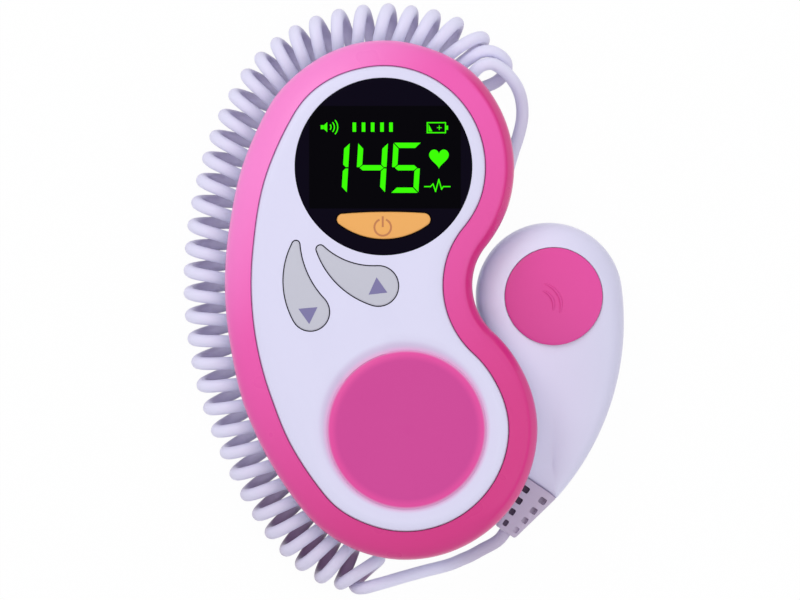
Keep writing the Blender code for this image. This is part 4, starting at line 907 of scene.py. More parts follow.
def make_lens():
    sizes = body()
    radius = sizes.lens_radius
    profile = [(radius, LENS_BASE)] + [(radius - GAP * run, LENS_TOP - GAP * (1 - rise))
                                       for run, rise in KEY_TOP_SHARES]
    lens = turned("window", profile, LENS_PLAN, FACE_TURN_POINTS)
    cut(lens, key_opening(POWER_KEY, (LENS_BASE - CUT_OVERRUN, LENS_TOP + CUT_OVERRUN)))
    finish(lens, window_material(), "main_unit", ["display_lens"])


def make_palm_disc():
    """The pink pillow of the lower lobe, with a painted sheen a tone brighter on its soft edge."""
    sizes = body()
    edge = PLATE_TOP - GAP
    rise = PALM_TOP - edge
    profile = [(sizes.palm_radius * run, edge + rise * share)
               for run, share in rounded_profile(PALM_SHARES, 3)]
    profile.append((sizes.palm_radius, PALM_BASE))
    disc = turned("palm_disc", profile, sizes.palm_centre, FACE_TURN_POINTS)
    finish(disc, palm_material(), "main_unit", ["front_disc"])


def palm_material():
    """Soft plastic with a painted sheen, a brighter tone towards its rim, and the painted pink glow pale at
    the very edge.
    """
    sizes, shades = body(), colours()
    radius = sizes.palm_radius
    material, tree, shader = new_material("palm_pink", Specular_IOR_Level=0.3)
    # Painted sheen: a brighter tone round the disc's rounded edge, where it catches the light.
    rim = round_mask(tree, sizes.palm_centre, *(radius * share for share in PALM_SHEEN_SHARES))
    mixed = blend_colours(tree, rim, opaque(shades.palm), opaque(shades.palm_painted_sheen))
    # The painted pink reflection reaches over the disc's very edge.
    pale = round_mask(tree, sizes.palm_centre, *(radius + reach for reach in PALM_FADE))
    mixed = blend_colours(tree, pale, mixed, opaque(shades.palm_painted_glow))
    add_skin(tree, shader, mixed, (0.42, 0.52), bump=0.08)
    return material


# Lit marks of the screen

DIGIT_BASE = 0.0282
DIGIT_HEIGHT = 0.0135
DIGIT_STROKE = 0.00142
DIGIT_NICK = 0.00018
DIGIT_SLANT_SHARE = 0.06
DIGIT_PLACES = (("bc", -0.0202, 0.0072), ("fgbc", -0.0107, 0.0080), ("afgcd", -0.0012, 0.0075))
BAR_PLACES = (-0.01096, -0.00848, -0.00602, -0.00350, -0.00108)
BAR_SIZE = (0.00097, 0.0025)
SIGN_ROW = 0.0459
SPEAKER_X = -0.0196
BATTERY_CORNER = (0.0087, 0.0444)
BATTERY_SIZE = (0.0049, 0.0027)
LINE_WIDTH = 0.00032
HEART_CENTRE = (0.01185, 0.0373)
HEART_SIZE = 0.0053
PULSE_CENTRE = (0.0114, 0.0302)
PULSE_WIDTH = 0.0068
PULSE_HEIGHT = 0.0032
PULSE_SHARES = ((-0.5, -0.1), (-0.27, -0.1), (-0.17, 0.12), (-0.07, -0.5), (0.06, 0.5), (0.17, -0.32),
                (0.24, -0.1), (0.5, -0.1))
MARK_THICK = 0.00004


def digit_outlines(lit, left, width):
    """Seven-segment digit with mitred strokes, leaning to the right."""
    t, n, h = DIGIT_STROKE, DIGIT_NICK, DIGIT_HEIGHT
    half = h / 2
    upright = [(0, half + n), (0, h - n), (t, h - t - n), (t, half + t / 2 + n), (t * 0.5, half + n)]
    across = [(n, h), (width - n, h), (width - t - n, h - t), (t + n, h - t)]
    middle = [(n + t * 0.4, half), (t + n, half + t / 2), (width - t - n, half + t / 2),
              (width - n - t * 0.4, half), (width - t - n, half - t / 2), (t + n, half - t / 2)]
    shapes = {
        "a": across,
        "b": [(width - x, y) for x, y in upright],
        "c": [(width - x, h - y) for x, y in upright],
        "d": [(x, h - y) for x, y in across],
        "f": upright,
        "g": middle,
    }
    return [[(left + x + y * DIGIT_SLANT_SHARE, DIGIT_BASE + y) for x, y in shapes[name]] for name in lit]


def line_outline(start, end, width=LINE_WIDTH):
    start, end = Vector(start), Vector(end)
    along = (end - start).normalized() * width / 2
    across = Vector((-along.y, along.x))
    return [start - along - across, end + along - across, end + along + across, start - along + across]


def box_outline(centre, size):
    x, y = centre
    wide, high = size[0] / 2, size[1] / 2
    return [(x - wide, y - high), (x + wide, y - high), (x + wide, y + high), (x - wide, y + high)]


def arc_outline(centre, radius, start, end, width, count=20):
    """A bent stroke about a centre, from one angle to another, in degrees."""
    start, end = math.radians(start), math.radians(end)
    outer = arc_points(centre, radius + width / 2, start, end + (end - start) / count, count + 1)
    inner = arc_points(centre, radius - width / 2, start, end + (end - start) / count, count + 1)
    return outer + inner[::-1]


def heart_outline():
    points = []
    for i in range(48):
        t = 2 * math.pi * i / 48
        x = 16 * math.sin(t) ** 3 / 32
        y = (13 * math.cos(t) - 5 * math.cos(2 * t) - 2 * math.cos(3 * t) - math.cos(4 * t) + 2.4) / 29.5
        points.append((HEART_CENTRE[0] - HEART_SIZE * x, HEART_CENTRE[1] + HEART_SIZE * y))
    return points


def loudspeaker_outlines():
    x, y, w = SPEAKER_X, SIGN_ROW, LINE_WIDTH
    box = box_outline((x, y), (w * 2.6, w * 3.4))
    horn = [(x + w * 1.5, y - w * 1.7), (x + w * 4.2, y - w * 4.2), (x + w * 4.2, y + w * 4.2),
            (x + w * 1.5, y + w * 1.7)]
    waves = [arc_outline((x + w * 4.2, y), radius, -42, 42, w) for radius in (w * 3.2, w * 6.0, w * 8.8)]
    return [box, horn] + waves


def battery_outlines():
    x, y = BATTERY_CORNER
    wide, high = BATTERY_SIZE
    w = LINE_WIDTH
    corners = [(x, y), (x + wide, y), (x + wide, y + high), (x, y + high)]
    sides = [line_outline(a, b) for a, b in zip(corners, corners[1:] + corners[:1])]
    nub = box_outline((x + wide + w * 1.4, y + high / 2), (w * 1.6, high * 0.42))
    charge = [(x + w, y + w), (x + w * 4.4, y + w), (x + w, y + high - w)]
    plus = (x + wide * 0.66, y + high / 2)
    arm = w * 1.6
    level = line_outline((plus[0] - arm, plus[1]), (plus[0] + arm, plus[1]), w * 0.7)
    upper = line_outline((plus[0], plus[1] + w * 0.4), (plus[0], plus[1] + arm), w * 0.7)
    lower = line_outline((plus[0], plus[1] - arm), (plus[0], plus[1] - w * 0.4), w * 0.7)
    return sides + [nub, charge, level, upper, lower]


def pulse_outlines():
    points = [(PULSE_CENTRE[0] + PULSE_WIDTH * x, PULSE_CENTRE[1] + PULSE_HEIGHT * y)
              for x, y in PULSE_SHARES]
    return [line_outline(a, b) for a, b in zip(points, points[1:])]


def make_screen_marks():
    """Digits, bars and small signs, lit green just over the window."""
    material = lit_material()
    digits = []
    for lit, left, width in DIGIT_PLACES:
        digits += digit_outlines(lit, left, width)
    bars = [box_outline((x, SIGN_ROW), BAR_SIZE) for x in BAR_PLACES]
    for name, outlines in (("lit_digits", digits), ("lit_bars", bars), ("lit_heart", [heart_outline()]),
                           ("lit_loudspeaker", loudspeaker_outlines()), ("lit_battery", battery_outlines()),
                           ("lit_pulse", pulse_outlines())):
        mark = flat_mark(name, outlines, LENS_TOP + MARK_THICK / 4, MARK_THICK)
        finish(mark, material, "main_unit")


# Keys

POWER_SIGN = (-0.0033, 0.0189)
POWER_SIGN_RADIUS = 0.00224
POWER_SIGN_ANGLES = (112, 428)
POWER_BAR_SHARES = (0.68, 1.3)
SIGN_STROKE = 0.00052
KEY_TONES = (1.0, 0.93)
# Near-black tones that paint the shade in the gap round each key's cap.
SKIRT_GAP_SHADE_TONES = ((0.012, 0.011, 0.014), (0.02, 0.018, 0.022))
DOWN_ARROW = ((-0.02603, -0.00305), (-0.02311, -0.00718), (-0.02087, -0.00259))
UP_ARROW = ((-0.00497, 0.00545), (-0.00710, 0.00076), (-0.00205, 0.00132))


def make_key(name, key, top, material, gap_shade_skirt):
    """A key: flange and neck in its opening, dark as painted shade in the gap round the cap, and a softly
    rounded cap.
    """
    sizes = body()
    low = node_height(name, top=False)
    flange_top = low + KEY_FLANGE_THICK
    skirt_top = top - 2 * KEY_ROUND
    stages = [(-sizes.key_flange, low), (-sizes.key_flange, flange_top), (KEY_SHRINK, flange_top),
              (KEY_SHRINK, skirt_top)]
    stages += [(KEY_SHRINK + KEY_ROUND * run, top - KEY_ROUND * (1 - rise)) for run, rise in KEY_TOP_SHARES]
    rings = [raised(key_outline(key, inset), level) for inset, level in stages]
    cap = finish(loft(f"{name}_cap", rings), material, name, [name])
    # The flange and neck take the dark material, painted shade for the gap round the cap.
    cap.data.materials.append(gap_shade_skirt)
    for face in cap.data.polygons:
        if face.center.z < skirt_top:
            face.material_index = 1


def make_keys():
    shades = colours()
    sizes = body()
    orange = toned_plastic("key_orange", shades.orange, KEY_TONES, clouds=0.4, gloss=(0.38, 0.46),
                           specular=0.35)
    grey = toned_plastic("key_grey", shades.key, KEY_TONES, clouds=0.4, gloss=(0.40, 0.5), specular=0.35)
    power_top = LENS_TOP + sizes.key_rise
    volume_top = PLATE_TOP + sizes.key_rise
    # Dark material as painted shade in the keys' gaps.
    gap_shade_skirt = swept_plastic("key_skirt_gap_shade", *SKIRT_GAP_SHADE_TONES, clouds=0.5, gloss=(0.6, 0.7), specular=0.2)
    make_key("power_button", POWER_KEY, power_top, orange, gap_shade_skirt)
    make_key("volume_down_button", DOWN_KEY, volume_top, grey, gap_shade_skirt)
    make_key("volume_up_button", UP_KEY, volume_top, grey, gap_shade_skirt)
    ring = arc_outline(POWER_SIGN, POWER_SIGN_RADIUS, *POWER_SIGN_ANGLES, SIGN_STROKE, 40)
    rise, tall = (POWER_SIGN_RADIUS * share for share in POWER_BAR_SHARES)
    bar = box_outline((POWER_SIGN[0], POWER_SIGN[1] + rise), (SIGN_STROKE, tall))
    ink = printed_material("sign_brown", shades.orange_mark)
    sign = flat_mark("power_sign", [ring, bar], power_top, MARK_THICK)
    finish(sign, ink, "power_button")
    ink = printed_material("arrow_violet", shades.arrow)
    for name, rides_on, arrow in (("down_arrow", "volume_down_button", DOWN_ARROW),
                                  ("up_arrow", "volume_up_button", UP_ARROW)):
        finish(flat_mark(name, [arrow], volume_top, MARK_THICK), ink, rides_on)


# Rear case, door and gland

DOOR_ROUND = 0.0004
SLOT_WIDTH = 0.0018
SLOT_PITCH = 0.0040
SLOT_COUNT = 5
SLOT_INSET = GAP * 6
SLOT_ROUND_SHARE = 0.45
BAY_WALL_SHARE = 0.8
SCREW_HOLE = 0.0012
CASE_SCREW_NODES = ("case_screw_1", "case_screw_2", "case_screw_3", "case_screw_4")
PROBE_SCREW_NODES = ("probe_screw_1", "probe_screw_2")
GRIP_COUNT = 4
GRIP_PITCH = 0.0026
GRIP_SIZE = (0.0120, 0.0012, 0.0006)
GRIP_ROUND_SHARE = 0.3


def box_of(*nodes):
    """Middle and size of the box round some nodes of the frame."""
    corners = [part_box(node) for node in nodes]
    low = Vector([min(pair[0][i] for pair in corners) for i in range(3)])
    high = Vector([max(pair[1][i] for pair in corners) for i in range(3)])
    return (low + high) / 2, high - low


def make_rear_case():
    """White tray with its cord groove, battery bay, speaker slots and screw holes."""
    sizes = body()
    outer = [unit_ring(sizes.groove_depth * inset, CASE_TOP * share)
             for inset, share in rounded_profile(CASE_OUTER_SHARES, 2)]
    inner = [unit_ring(sizes.groove_depth * inset, CASE_TOP * share) for inset, share in CASE_INNER_SHARES]
    case = loft("rear_tray", outer + inner)
    case.data.transform(Matrix.Translation(PLAN_SHIFT))
    door_middle, door_size = box_of("battery_door")
    bay_middle, bay_size = box_of("battery_contact_top", "battery_contact_bottom")
    cells_middle, cells_size = box_of("battery_cell_1", "battery_cell_2")
    bay_top = cells_middle.z + cells_size.z / 2 + 5 * GAP
    room = (bay_size.x + 4 * GAP, bay_size.y + 2 * GAP)
    wall = BAY_WALL_SHARE * sizes.case_wall
    tray_base = sizes.case_wall / 2
    tray_size = (room[0] + 2 * wall, room[1] + 2 * wall, bay_top + wall - tray_base)
    cut(case, block("bay", tray_size, (*bay_middle.xy, tray_base + tray_size[2] / 2)), "UNION")
    cut(case, block("bay", (*room, 2 * bay_top), (*bay_middle.xy, 0.0)))
    rebate = (door_size.x + 2 * GAP, door_size.y + 2 * GAP, 2 * (door_size.z + GAP))
    cut(case, block("rebate", rebate, (*door_middle.xy, 0.0)))
    speaker_middle, speaker_size = box_of("speaker_cone")
    for row in range(SLOT_COUNT):
        offset = (row - (SLOT_COUNT - 1) / 2) * SLOT_PITCH
        reach = math.sqrt((speaker_size.x / 2) ** 2 - offset ** 2) - SLOT_INSET
        slot = block("slot", (2 * reach, SLOT_WIDTH, 4 * sizes.case_wall),
                     (speaker_middle.x, speaker_middle.y + offset, 0.0))
        use_modifier(slot, "BEVEL", width=SLOT_WIDTH * SLOT_ROUND_SHARE, segments=4, limit_method="ANGLE")
        cut(case, slot)
    for node in CASE_SCREW_NODES:
        seat, _ = box_of(node)
        bore(case, SCREW_HOLE, (CASE_TOP / 2, CASE_TOP + CUT_OVERRUN), seat, 32)
    cut(case, loft("hole", gland_rings(GLAND_HOLE_SHARES, *box_of("main_cord_gland"))))
    material = toned_plastic("case_white", colours().white, (0.97, 0.93), clouds=0.3, gloss=(0.34, 0.44),
                             specular=0.35)
    finish(case, material, "main_unit", ["rear_case"], shift=False)


def make_door():
    """Battery door with rounded edges and ribs for a fingertip."""
    middle, size = box_of("battery_door")
    door = block("door_panel", size, middle)
    use_modifier(door, "BEVEL", width=DOOR_ROUND, segments=3, limit_method="ANGLE")
    for row in range(GRIP_COUNT):
        y = middle.y + size.y / 2 - GRIP_PITCH * (row + 1)
        rib = block("rib", (GRIP_SIZE[0], GRIP_SIZE[1], 2 * GRIP_SIZE[2]), (middle.x, y, 0.0))
        use_modifier(rib, "BEVEL", width=GRIP_SIZE[1] * GRIP_ROUND_SHARE, segments=3, limit_method="ANGLE")
        cut(door, rib)
    material = toned_plastic("door_white", colours().white, (0.97, 0.92), clouds=0.3, gloss=(0.36, 0.46),
                             specular=0.35)
    finish(door, material, "battery_door", ["battery_door"], shift=False)


def gland_rings(shares, middle, size):
    """Rings along X about the gland's axis: shares of half its length and half its width."""
    return [[Vector((middle.x + size.x * along / 2, middle.y + size.y / 2 * wide * math.cos(a),
                     middle.z + size.z / 2 * wide * math.sin(a))) for a in full_turn(40)]
            for along, wide in shares]


GLAND_HOLE_SHARES = ((-0.6, 0.655), (0.6, 0.655))
GLAND_SHARES = ((-1.0, 0.96), (-0.96, 1.0), (-0.80, 1.0), (-0.78, 0.96), (-0.78, 0.575), (-0.20, 0.575),
                (-0.20, 0.72), (-0.14, 0.76), (0.05, 0.735), (0.07, 0.64), (0.17, 0.63), (0.19, 0.71),
                (0.33, 0.69), (0.35, 0.60), (0.45, 0.59), (0.47, 0.66), (0.61, 0.64), (0.63, 0.56),
                (0.73, 0.55), (0.75, 0.61), (0.95, 0.57), (1.0, 0.52))


def make_gland():
    """Ribbed rubber gland where the cord leaves the case."""
    gland = loft("cord_gland", gland_rings(GLAND_SHARES, *box_of("main_cord_gland")))
    material = toned_plastic("gland_rubber", colours().relief, (1.0, 0.9), clouds=0.5, gloss=(0.5, 0.62),
                             specular=0.25, bump=0.12)
    return finish(gland, material, "main_unit", ["main_cord_gland"], shift=False)


# Probe

PROBE_COUNTS = (64, 40, 12)
PROBE_BACK_START_ANGLE = 7.75
PROBE_BACK_END_ANGLE = -41.9
PROBE_SIDE_START_ANGLE = 192.5
PROBE_TAIL_ANGLE = 145.6
PROBE_ROUND_SHARE = 0.46
PROBE_RING_SHARES = (0.0, 0.006, 0.016, 0.032, 0.055, 0.085, 0.12, 0.165, 0.22, 0.29, 0.38, 0.48, 0.6, 0.72,
                     0.84, 0.95)
PROBE_INNER_RISE_SHARE = 1.3
# The probe's tones are painted light and shade: lighter at the left beside the main unit, darker at the
# right.
PROBE_PAINTED_LIGHT_TONES = (1.14, 0.91)
PROBE_WINDOW = (0.0128, 0.0033)
PROBE_WELL = (0.0024, 0.0040)
PROBE_DISC_SHARES = ((1.0, 0.0), (1.0, 0.42), (0.992, 0.52), (0.97, 0.6), (0.93, 0.66), (0.7, 0.8),
                     (0.45, 0.92), (0.2, 0.98), (0.06, 1.0))
PROBE_DISC_TONES = (1.06, 0.92)
EMBOSSED_RADII = (0.0060, 0.0040)
EMBOSSED_ANGLES = (78.0, -22.0)
EMBOSSED_WIDTH = 0.0010
EMBOSSED_RISE = 0.00075
EMBOSSED_STEPS = 32
EMBOSSED_END = 0.12
EMBOSSED_FULLNESS = 0.35


def polar(angle):
    return Vector((math.cos(math.radians(angle)), math.sin(math.radians(angle))))


def back_centre():
    head = probe().head
    return Vector(head[:2]) - polar(PROBE_BACK_START_ANGLE) * (probe().back_radius - head[2])


def tail_corners():
    outer = back_centre() + polar(PROBE_BACK_END_ANGLE) * probe().back_radius
    return outer, outer + polar(PROBE_TAIL_ANGLE) * probe().tail_width


def tail_axis():
    slant = polar(PROBE_TAIL_ANGLE)
    return Vector((-slant.y, slant.x, 0.0))


def probe_outline():
    """Outline points, each with its share along the spine from head to tail."""
    sizes = probe()
    head = Vector(sizes.head[:2])
    outer, inner = tail_corners()
    start, end = math.radians(PROBE_BACK_START_ANGLE), math.radians(PROBE_SIDE_START_ANGLE)
    around, along, across = PROBE_COUNTS
    points = [(point, 0.0) for point in arc_points(head, sizes.head[2], start, end, around)]
    side = head + polar(PROBE_SIDE_START_ANGLE) * sizes.head[2]
    points += [(side.lerp(inner, i / along), i / along) for i in range(along)]
    points += [(inner.lerp(outer, i / across), 1.0) for i in range(across)]
    back = arc_points(back_centre(), sizes.back_radius, math.radians(PROBE_BACK_END_ANGLE), start, along)
    return points + [(point, 1.0 - i / along) for i, point in enumerate(back)]


def shell_rings(head_height, upward, wall=0.0):
    """Rings that draw in to the spine while the shell rounds over, a wall further in."""
    sizes = probe()
    head = Vector(sizes.head[:2])
    outer, inner = tail_corners()
    tail = (outer + inner) / 2 - tail_axis().xy * sizes.setback
    base = sizes.split + GAP / 2 * upward
    power = 2 / PROBE_ROUND_SHARE
    rings = []
    for draw in PROBE_RING_SHARES:
        fullness = (1 - (1 - draw) ** power) ** (1 / power)
        ring = []
        for point, share in probe_outline():
            spine = head.lerp(tail, share)
            edge = point.lerp(spine, wall / (point - spine).length)
            height = head_height + (sizes.tail_height - head_height) * share - GAP / 2
            height -= wall * PROBE_INNER_RISE_SHARE
            ring.append(Vector((*edge.lerp(spine, draw), base + upward * height * fullness)))
        rings.append(ring)
    return rings


def probe_shell(name, head_height, upward):
    """A shell from the crown of its inside, round its seam, to the crown of its outside."""
    inner = shell_rings(head_height, upward, probe().wall)
    return loft(name, inner[::-1] + shell_rings(head_height, upward))


def make_probe_shells():
    sizes = probe()
    # Painted light and shade: lighter towards the left, next to the main unit, and darker towards the right.
    material = toned_plastic("probe_white", colours().white, PROBE_PAINTED_LIGHT_TONES, clouds=0.3,
                             direction=(1.0, -0.1, 0.0), span=(0.016, 0.056), gloss=(0.30, 0.38),
                             specular=0.35)
    upper = probe_shell("probe_upper_shell", sizes.top_height, 1)
    recess = (PROBE_DISC_BASE - GAP, PROBE_DISC_TOP + CUT_OVERRUN)
    bore(upper, sizes.disc_radius + SEAM, recess, sizes.disc_centre, 128)
    finish(upper, material, "probe", ["probe_front_case"], angle=30)
    lower = probe_shell("probe_lower_shell", sizes.bottom_height, -1)
    bore(lower, PROBE_WINDOW[0], (-CUT_OVERRUN, PROBE_WINDOW[1]), sizes.head, 96)
    for node in PROBE_SCREW_NODES:
        seat, _ = box_of(node)
        bore(lower, PROBE_WELL[0], (-CUT_OVERRUN, PROBE_WELL[1]), seat - PLAN_SHIFT, 32)
    finish(lower, material, "probe", ["probe_rear_case"], angle=30)


def embossed_arc(name, radius):
    """A low rounded rib bent about the arcs' centre, tapering to nothing at its ends."""
    centre = Vector(probe().ear_centre)
    rings = []
    start, end = EMBOSSED_ANGLES
    for i in range(EMBOSSED_STEPS + 1):
        share = i / EMBOSSED_STEPS
        way = polar(start + (end - start) * share)
        swell = max(EMBOSSED_END, math.sin(math.pi * share) ** EMBOSSED_FULLNESS)
        ring = []
        for turn in full_turn(16):
            out = radius + EMBOSSED_WIDTH / 2 * swell * math.cos(turn)
            level = PROBE_DISC_TOP - GAP + EMBOSSED_RISE * swell * math.sin(turn)
            ring.append(Vector((*(centre + way * out), level)))
        rings.append(ring)
    return loft(name, rings)


def make_probe_disc():
    sizes = probe()
    height = PROBE_DISC_TOP - PROBE_DISC_BASE
    profile = [(sizes.disc_radius * run, PROBE_DISC_BASE + height * share)
               for run, share in PROBE_DISC_SHARES]
    material = toned_plastic("probe_pink", colours().probe_pink, PROBE_DISC_TONES, clouds=0.2,
                             direction=(-0.7, -0.7, 0), span=(-0.04, -0.01), gloss=(0.36, 0.44),
                             specular=0.3)
    finish(turned("probe_cover", profile, sizes.disc_centre, 128), material, "probe",
           ["probe_disc"])
    for number, radius in enumerate(EMBOSSED_RADII, start=1):
        finish(embossed_arc(f"embossed_arc_{number}", radius), material, "probe", angle=60)


RELIEF_POINTS = 64
RELIEF_RING_SHARES = (0.0, 0.012, 0.035, 0.2, 0.4, 0.6, 0.8, 0.965, 0.988, 1.0)
RELIEF_INSET_SHARES = (0.93, 0.975, 1.0, 1.0, 1.0, 1.0, 1.0, 1.0, 0.96, 0.88)
RELIEF_ROUND_SHARE = 0.5
RELIEF_ROW_SHARES = (0.185, 0.415, 0.64, 0.865)
RELIEF_COLUMN_SHARES = (0.34, -0.57)
RELIEF_CORE = 0.0048
RELIEF_CORE_TAPER = 0.25
RELIEF_TILT_SHARE = 0.5
RELIEF_SHALLOW = 0.50
RELIEF_SHADE_SHARES = (0.84, 0.58)
WINDOW_LONG_SHARE = 0.115
WINDOW_WIDE_SHARE = 0.185
WINDOW_ROUND = 0.0004


def relief_half_sizes(share):
    sizes = probe()
    wide = sizes.tail_width + (sizes.relief_end_width - sizes.tail_width) * share
    high = sizes.relief_height + (sizes.relief_end_height - sizes.relief_height) * share
    return wide / 2, high / 2


def make_relief():
    """Tapering rubber relief with rows of windows on top and under it."""
    sizes = probe()
    axis = tail_axis()
    across = Vector((axis.y, -axis.x, 0.0))
    up = Vector((0, 0, 1))
    outer, inner = tail_corners()
    start = Vector((*((outer + inner) / 2), sizes.split)) - axis * SEAM

    def rounded(part):
        return math.copysign(abs(part) ** RELIEF_ROUND_SHARE, part)

    rings = []
    for share, draw in zip(RELIEF_RING_SHARES, RELIEF_INSET_SHARES):
        wide, high = relief_half_sizes(share)
        middle = start + axis * (sizes.relief_length * share)
        rings.append([middle + across * (wide * draw * rounded(math.cos(turn)))
                      + up * (high * draw * rounded(math.sin(turn))) for turn in full_turn(RELIEF_POINTS)])
    relief = loft("strain_relief", rings)
    for share in RELIEF_ROW_SHARES:
        wide, high = relief_half_sizes(share)
        middle = start + axis * (sizes.relief_length * share)
        core = RELIEF_CORE / 2 * (1 - share * RELIEF_CORE_TAPER)
        for out in (up, -up):
            for column in RELIEF_COLUMN_SHARES:
                tilt = max(0.0, -column)
                facing = (out - across * (RELIEF_TILT_SHARE * tilt)).normalized()
                beside = axis.cross(facing).normalized()
                foot = middle + across * (column * wide) + out * core * (1 + RELIEF_SHALLOW * tilt)
                cut(relief, window_block(foot, axis, beside, facing, wide))
        cut(relief, window_block(middle + across * (core + GAP), axis, up, across, wide))

    # Painted shade: darker the deeper a point lies in a window, where little light reaches.
    def window_shade(where):
        offset = where - start
        wide, high = relief_half_sizes(offset.dot(axis) / sizes.relief_length)
        return smooth_between(RELIEF_SHADE_SHARES, max(abs(offset.dot(across)) / wide, abs(offset.z) / high))

    paint(relief, "relief_window_shade", window_shade)
    finish(relief, relief_material(), "probe", ["probe_strain_relief"])


def relief_material():
    """Lilac rubber, with painted shade down in the windows."""
    shades = colours()
    material, tree, shader = new_material("relief_rubber", Specular_IOR_Level=0.25)
    skin = tone_sweep(tree, opaque(shades.relief), opaque(shades.relief, 0.9), clouds=0.5)
    depth = add_node(tree, "ShaderNodeAttribute", {"attribute_name": "relief_window_shade"})
    mixed = blend_colours(tree, depth.outputs["Fac"], skin, opaque(shades.relief_painted_shade))
    add_skin(tree, shader, mixed, (0.50, 0.62), bump=0.12)
    return material


def window_block(foot, axis, beside, facing, wide):
    """A cutting block that stands on its foot and reaches out past the relief's skin."""
    long = probe().relief_length * WINDOW_LONG_SHARE
    broad = 2 * wide * WINDOW_WIDE_SHARE
    deep = probe().relief_height
    tool = block("relief_window", (long, broad, deep), (0, 0, deep / 2))
    use_modifier(tool, "BEVEL", width=WINDOW_ROUND, segments=3, limit_method="ANGLE")
    turn = Matrix((axis, beside, facing)).transposed().to_4x4()
    tool.data.transform(Matrix.Translation(foot) @ turn)
    if turn.determinant() < 0:
        select_only(tool)
        bpy.ops.object.mode_set(mode="EDIT")
        face_outwards()
    return tool


# Curly cord: its route is a given list, and its curls come from a loop

COIL_FIRST_TURN = 1.5
COIL_LAST_TURN = 37.95
COIL_LEAN_END = 38.81
LEAN_FIRST = (26.0, 3.4)
LEAN_LAST = (40.0, 1.1)
COIL_AXIS = (
    (1, 0.0252, 0.0612), (2, 0.0191, 0.0670), (3, 0.0136, 0.0696), (4, 0.0083, 0.0711),
    (5, 0.0030, 0.0719), (6, -0.0024, 0.0723), (7, -0.0084, 0.0719), (9, -0.0196, 0.0692),
    (11, -0.0286, 0.0642), (13, -0.0355, 0.0569), (15, -0.0410, 0.0469), (18, -0.0466, 0.0304),
    (21, -0.0495, 0.0129), (24, -0.0495, -0.0044), (27, -0.0465, -0.0223), (30, -0.0405, -0.0397),
    (33, -0.0322, -0.0556), (35, -0.0254, -0.0645), (37, -0.0170, -0.0709), (38, -0.0113, -0.0729),
    (39, -0.0066, -0.0744),
)
MAIN_LEAD_ROUTE = (
    (0.0288, 0.0306, 0.0078), (0.0302, 0.0333, 0.0072), (0.0311, 0.0364, 0.0064),
    (0.0322, 0.0400, 0.0056), (0.0335, 0.0440, 0.0047), (0.0345, 0.0490, 0.0042),
    (0.0343, 0.0532, 0.0052), (0.0332, 0.0567, 0.0073), (0.0312, 0.0597, 0.0099),
    (0.0286, 0.0621, 0.0127), (0.0259, 0.0633, 0.0143), (0.0232, 0.0626, 0.0149),
    (0.0211, 0.0606, 0.0141), (0.0197, 0.0585, 0.0117), (0.0194, 0.0568, 0.0079),
    (0.0206, 0.0561, 0.0046), (0.0225, 0.0563, 0.0027), (0.0248, 0.0573, 0.0020),
    (0.0271, 0.0583, 0.0022), (0.0289, 0.0597, 0.0030), (0.0301, 0.0617, 0.0048),
    (0.0299, 0.0640, 0.0074), (0.0282, 0.0657, 0.0099), (0.0258, 0.0667, 0.0116),
    (0.0231, 0.0664, 0.0123), (0.0205, 0.0649, 0.0120), (0.0180, 0.0630, 0.0105),
)
LAST_CURL_ROUTE = (
    (-0.0137, -0.0770, 0.0111), (-0.0111, -0.0753, 0.0132), (-0.0079, -0.0732, 0.0132),
    (-0.0053, -0.0715, 0.0111), (-0.0043, -0.0709, 0.0077), (-0.0051, -0.0718, 0.0042),
    (-0.0072, -0.0736, 0.0022), (-0.0092, -0.0755, 0.0025), (-0.0105, -0.0769, 0.0043),
    (-0.0109, -0.0780, 0.0068), (-0.0101, -0.0787, 0.0091), (-0.0081, -0.0786, 0.0108),
    (-0.0055, -0.0779, 0.0111), (-0.0022, -0.0770, 0.0096), (0.0013, -0.0760, 0.0069),
)
PROBE_LEAD_ROUTE = (
    (0.0050, -0.0750, 0.0043), (0.0088, -0.0740, 0.0026), (0.0125, -0.0731, 0.0022),
    (0.0155, -0.0722, 0.0028), (0.0180, -0.0711, 0.0039), (0.0205, -0.0700, 0.0053),
    (0.0232, -0.0685, 0.0067),
)
LEAD_STEP = 0.0011
# Painted shade on the cord: its low strands, the lower left of the curls, and the lead into the relief are
# darkened.
CORD_SHADE_LEVELS = (0.0030, 0.0115)
CORD_SHADE_DIRECTION = Vector((0.25, -0.97))
CORD_SHADE_RUN = (0.015, 0.062)
TOP_SHADE = 0.16
LOW_SHADE = 0.28
END_SHADE = 0.50
END_SHADE_REACH = (0.010, 0.026)
LEAD_START = -0.0095


def coil_axis(turn):
    return curve_through([row[0] for row in COIL_AXIS], [Vector(row[1:]) for row in COIL_AXIS], turn)


def coil_point(turn):
    """A point of the coil's centreline, whose loops lean over at both ends."""
    sizes = cord_sizes()
    nudge = 0.125
    heading = (coil_axis(turn + nudge) - coil_axis(turn - nudge)).normalized()
    outward = Vector((heading.y, -heading.x))
    lean = math.radians(LEAN_FIRST[0] * math.exp((COIL_AXIS[0][0] - turn) / LEAN_FIRST[1])
                        + LEAN_LAST[0] * math.exp((turn - COIL_LEAN_END) / LEAN_LAST[1]))
    sideways = outward * math.cos(lean) - heading * math.sin(lean)
    phase = 2 * math.pi * turn
    where = coil_axis(turn) + sideways * (sizes.curl_radius * math.cos(phase))
    middle = sizes.curl_radius + sizes.diameter / 2 + GAP / 2
    return Vector((where.x, where.y, middle + sizes.curl_radius * math.sin(phase)))


def even_points(route, step):
    """Points about one step apart along the smooth curve through a route."""
    reach = reaches(route)
    count = max(2, round(reach[-1] / step))
    return [curve_through(reach, route, reach[-1] * i / count) for i in range(count + 1)]


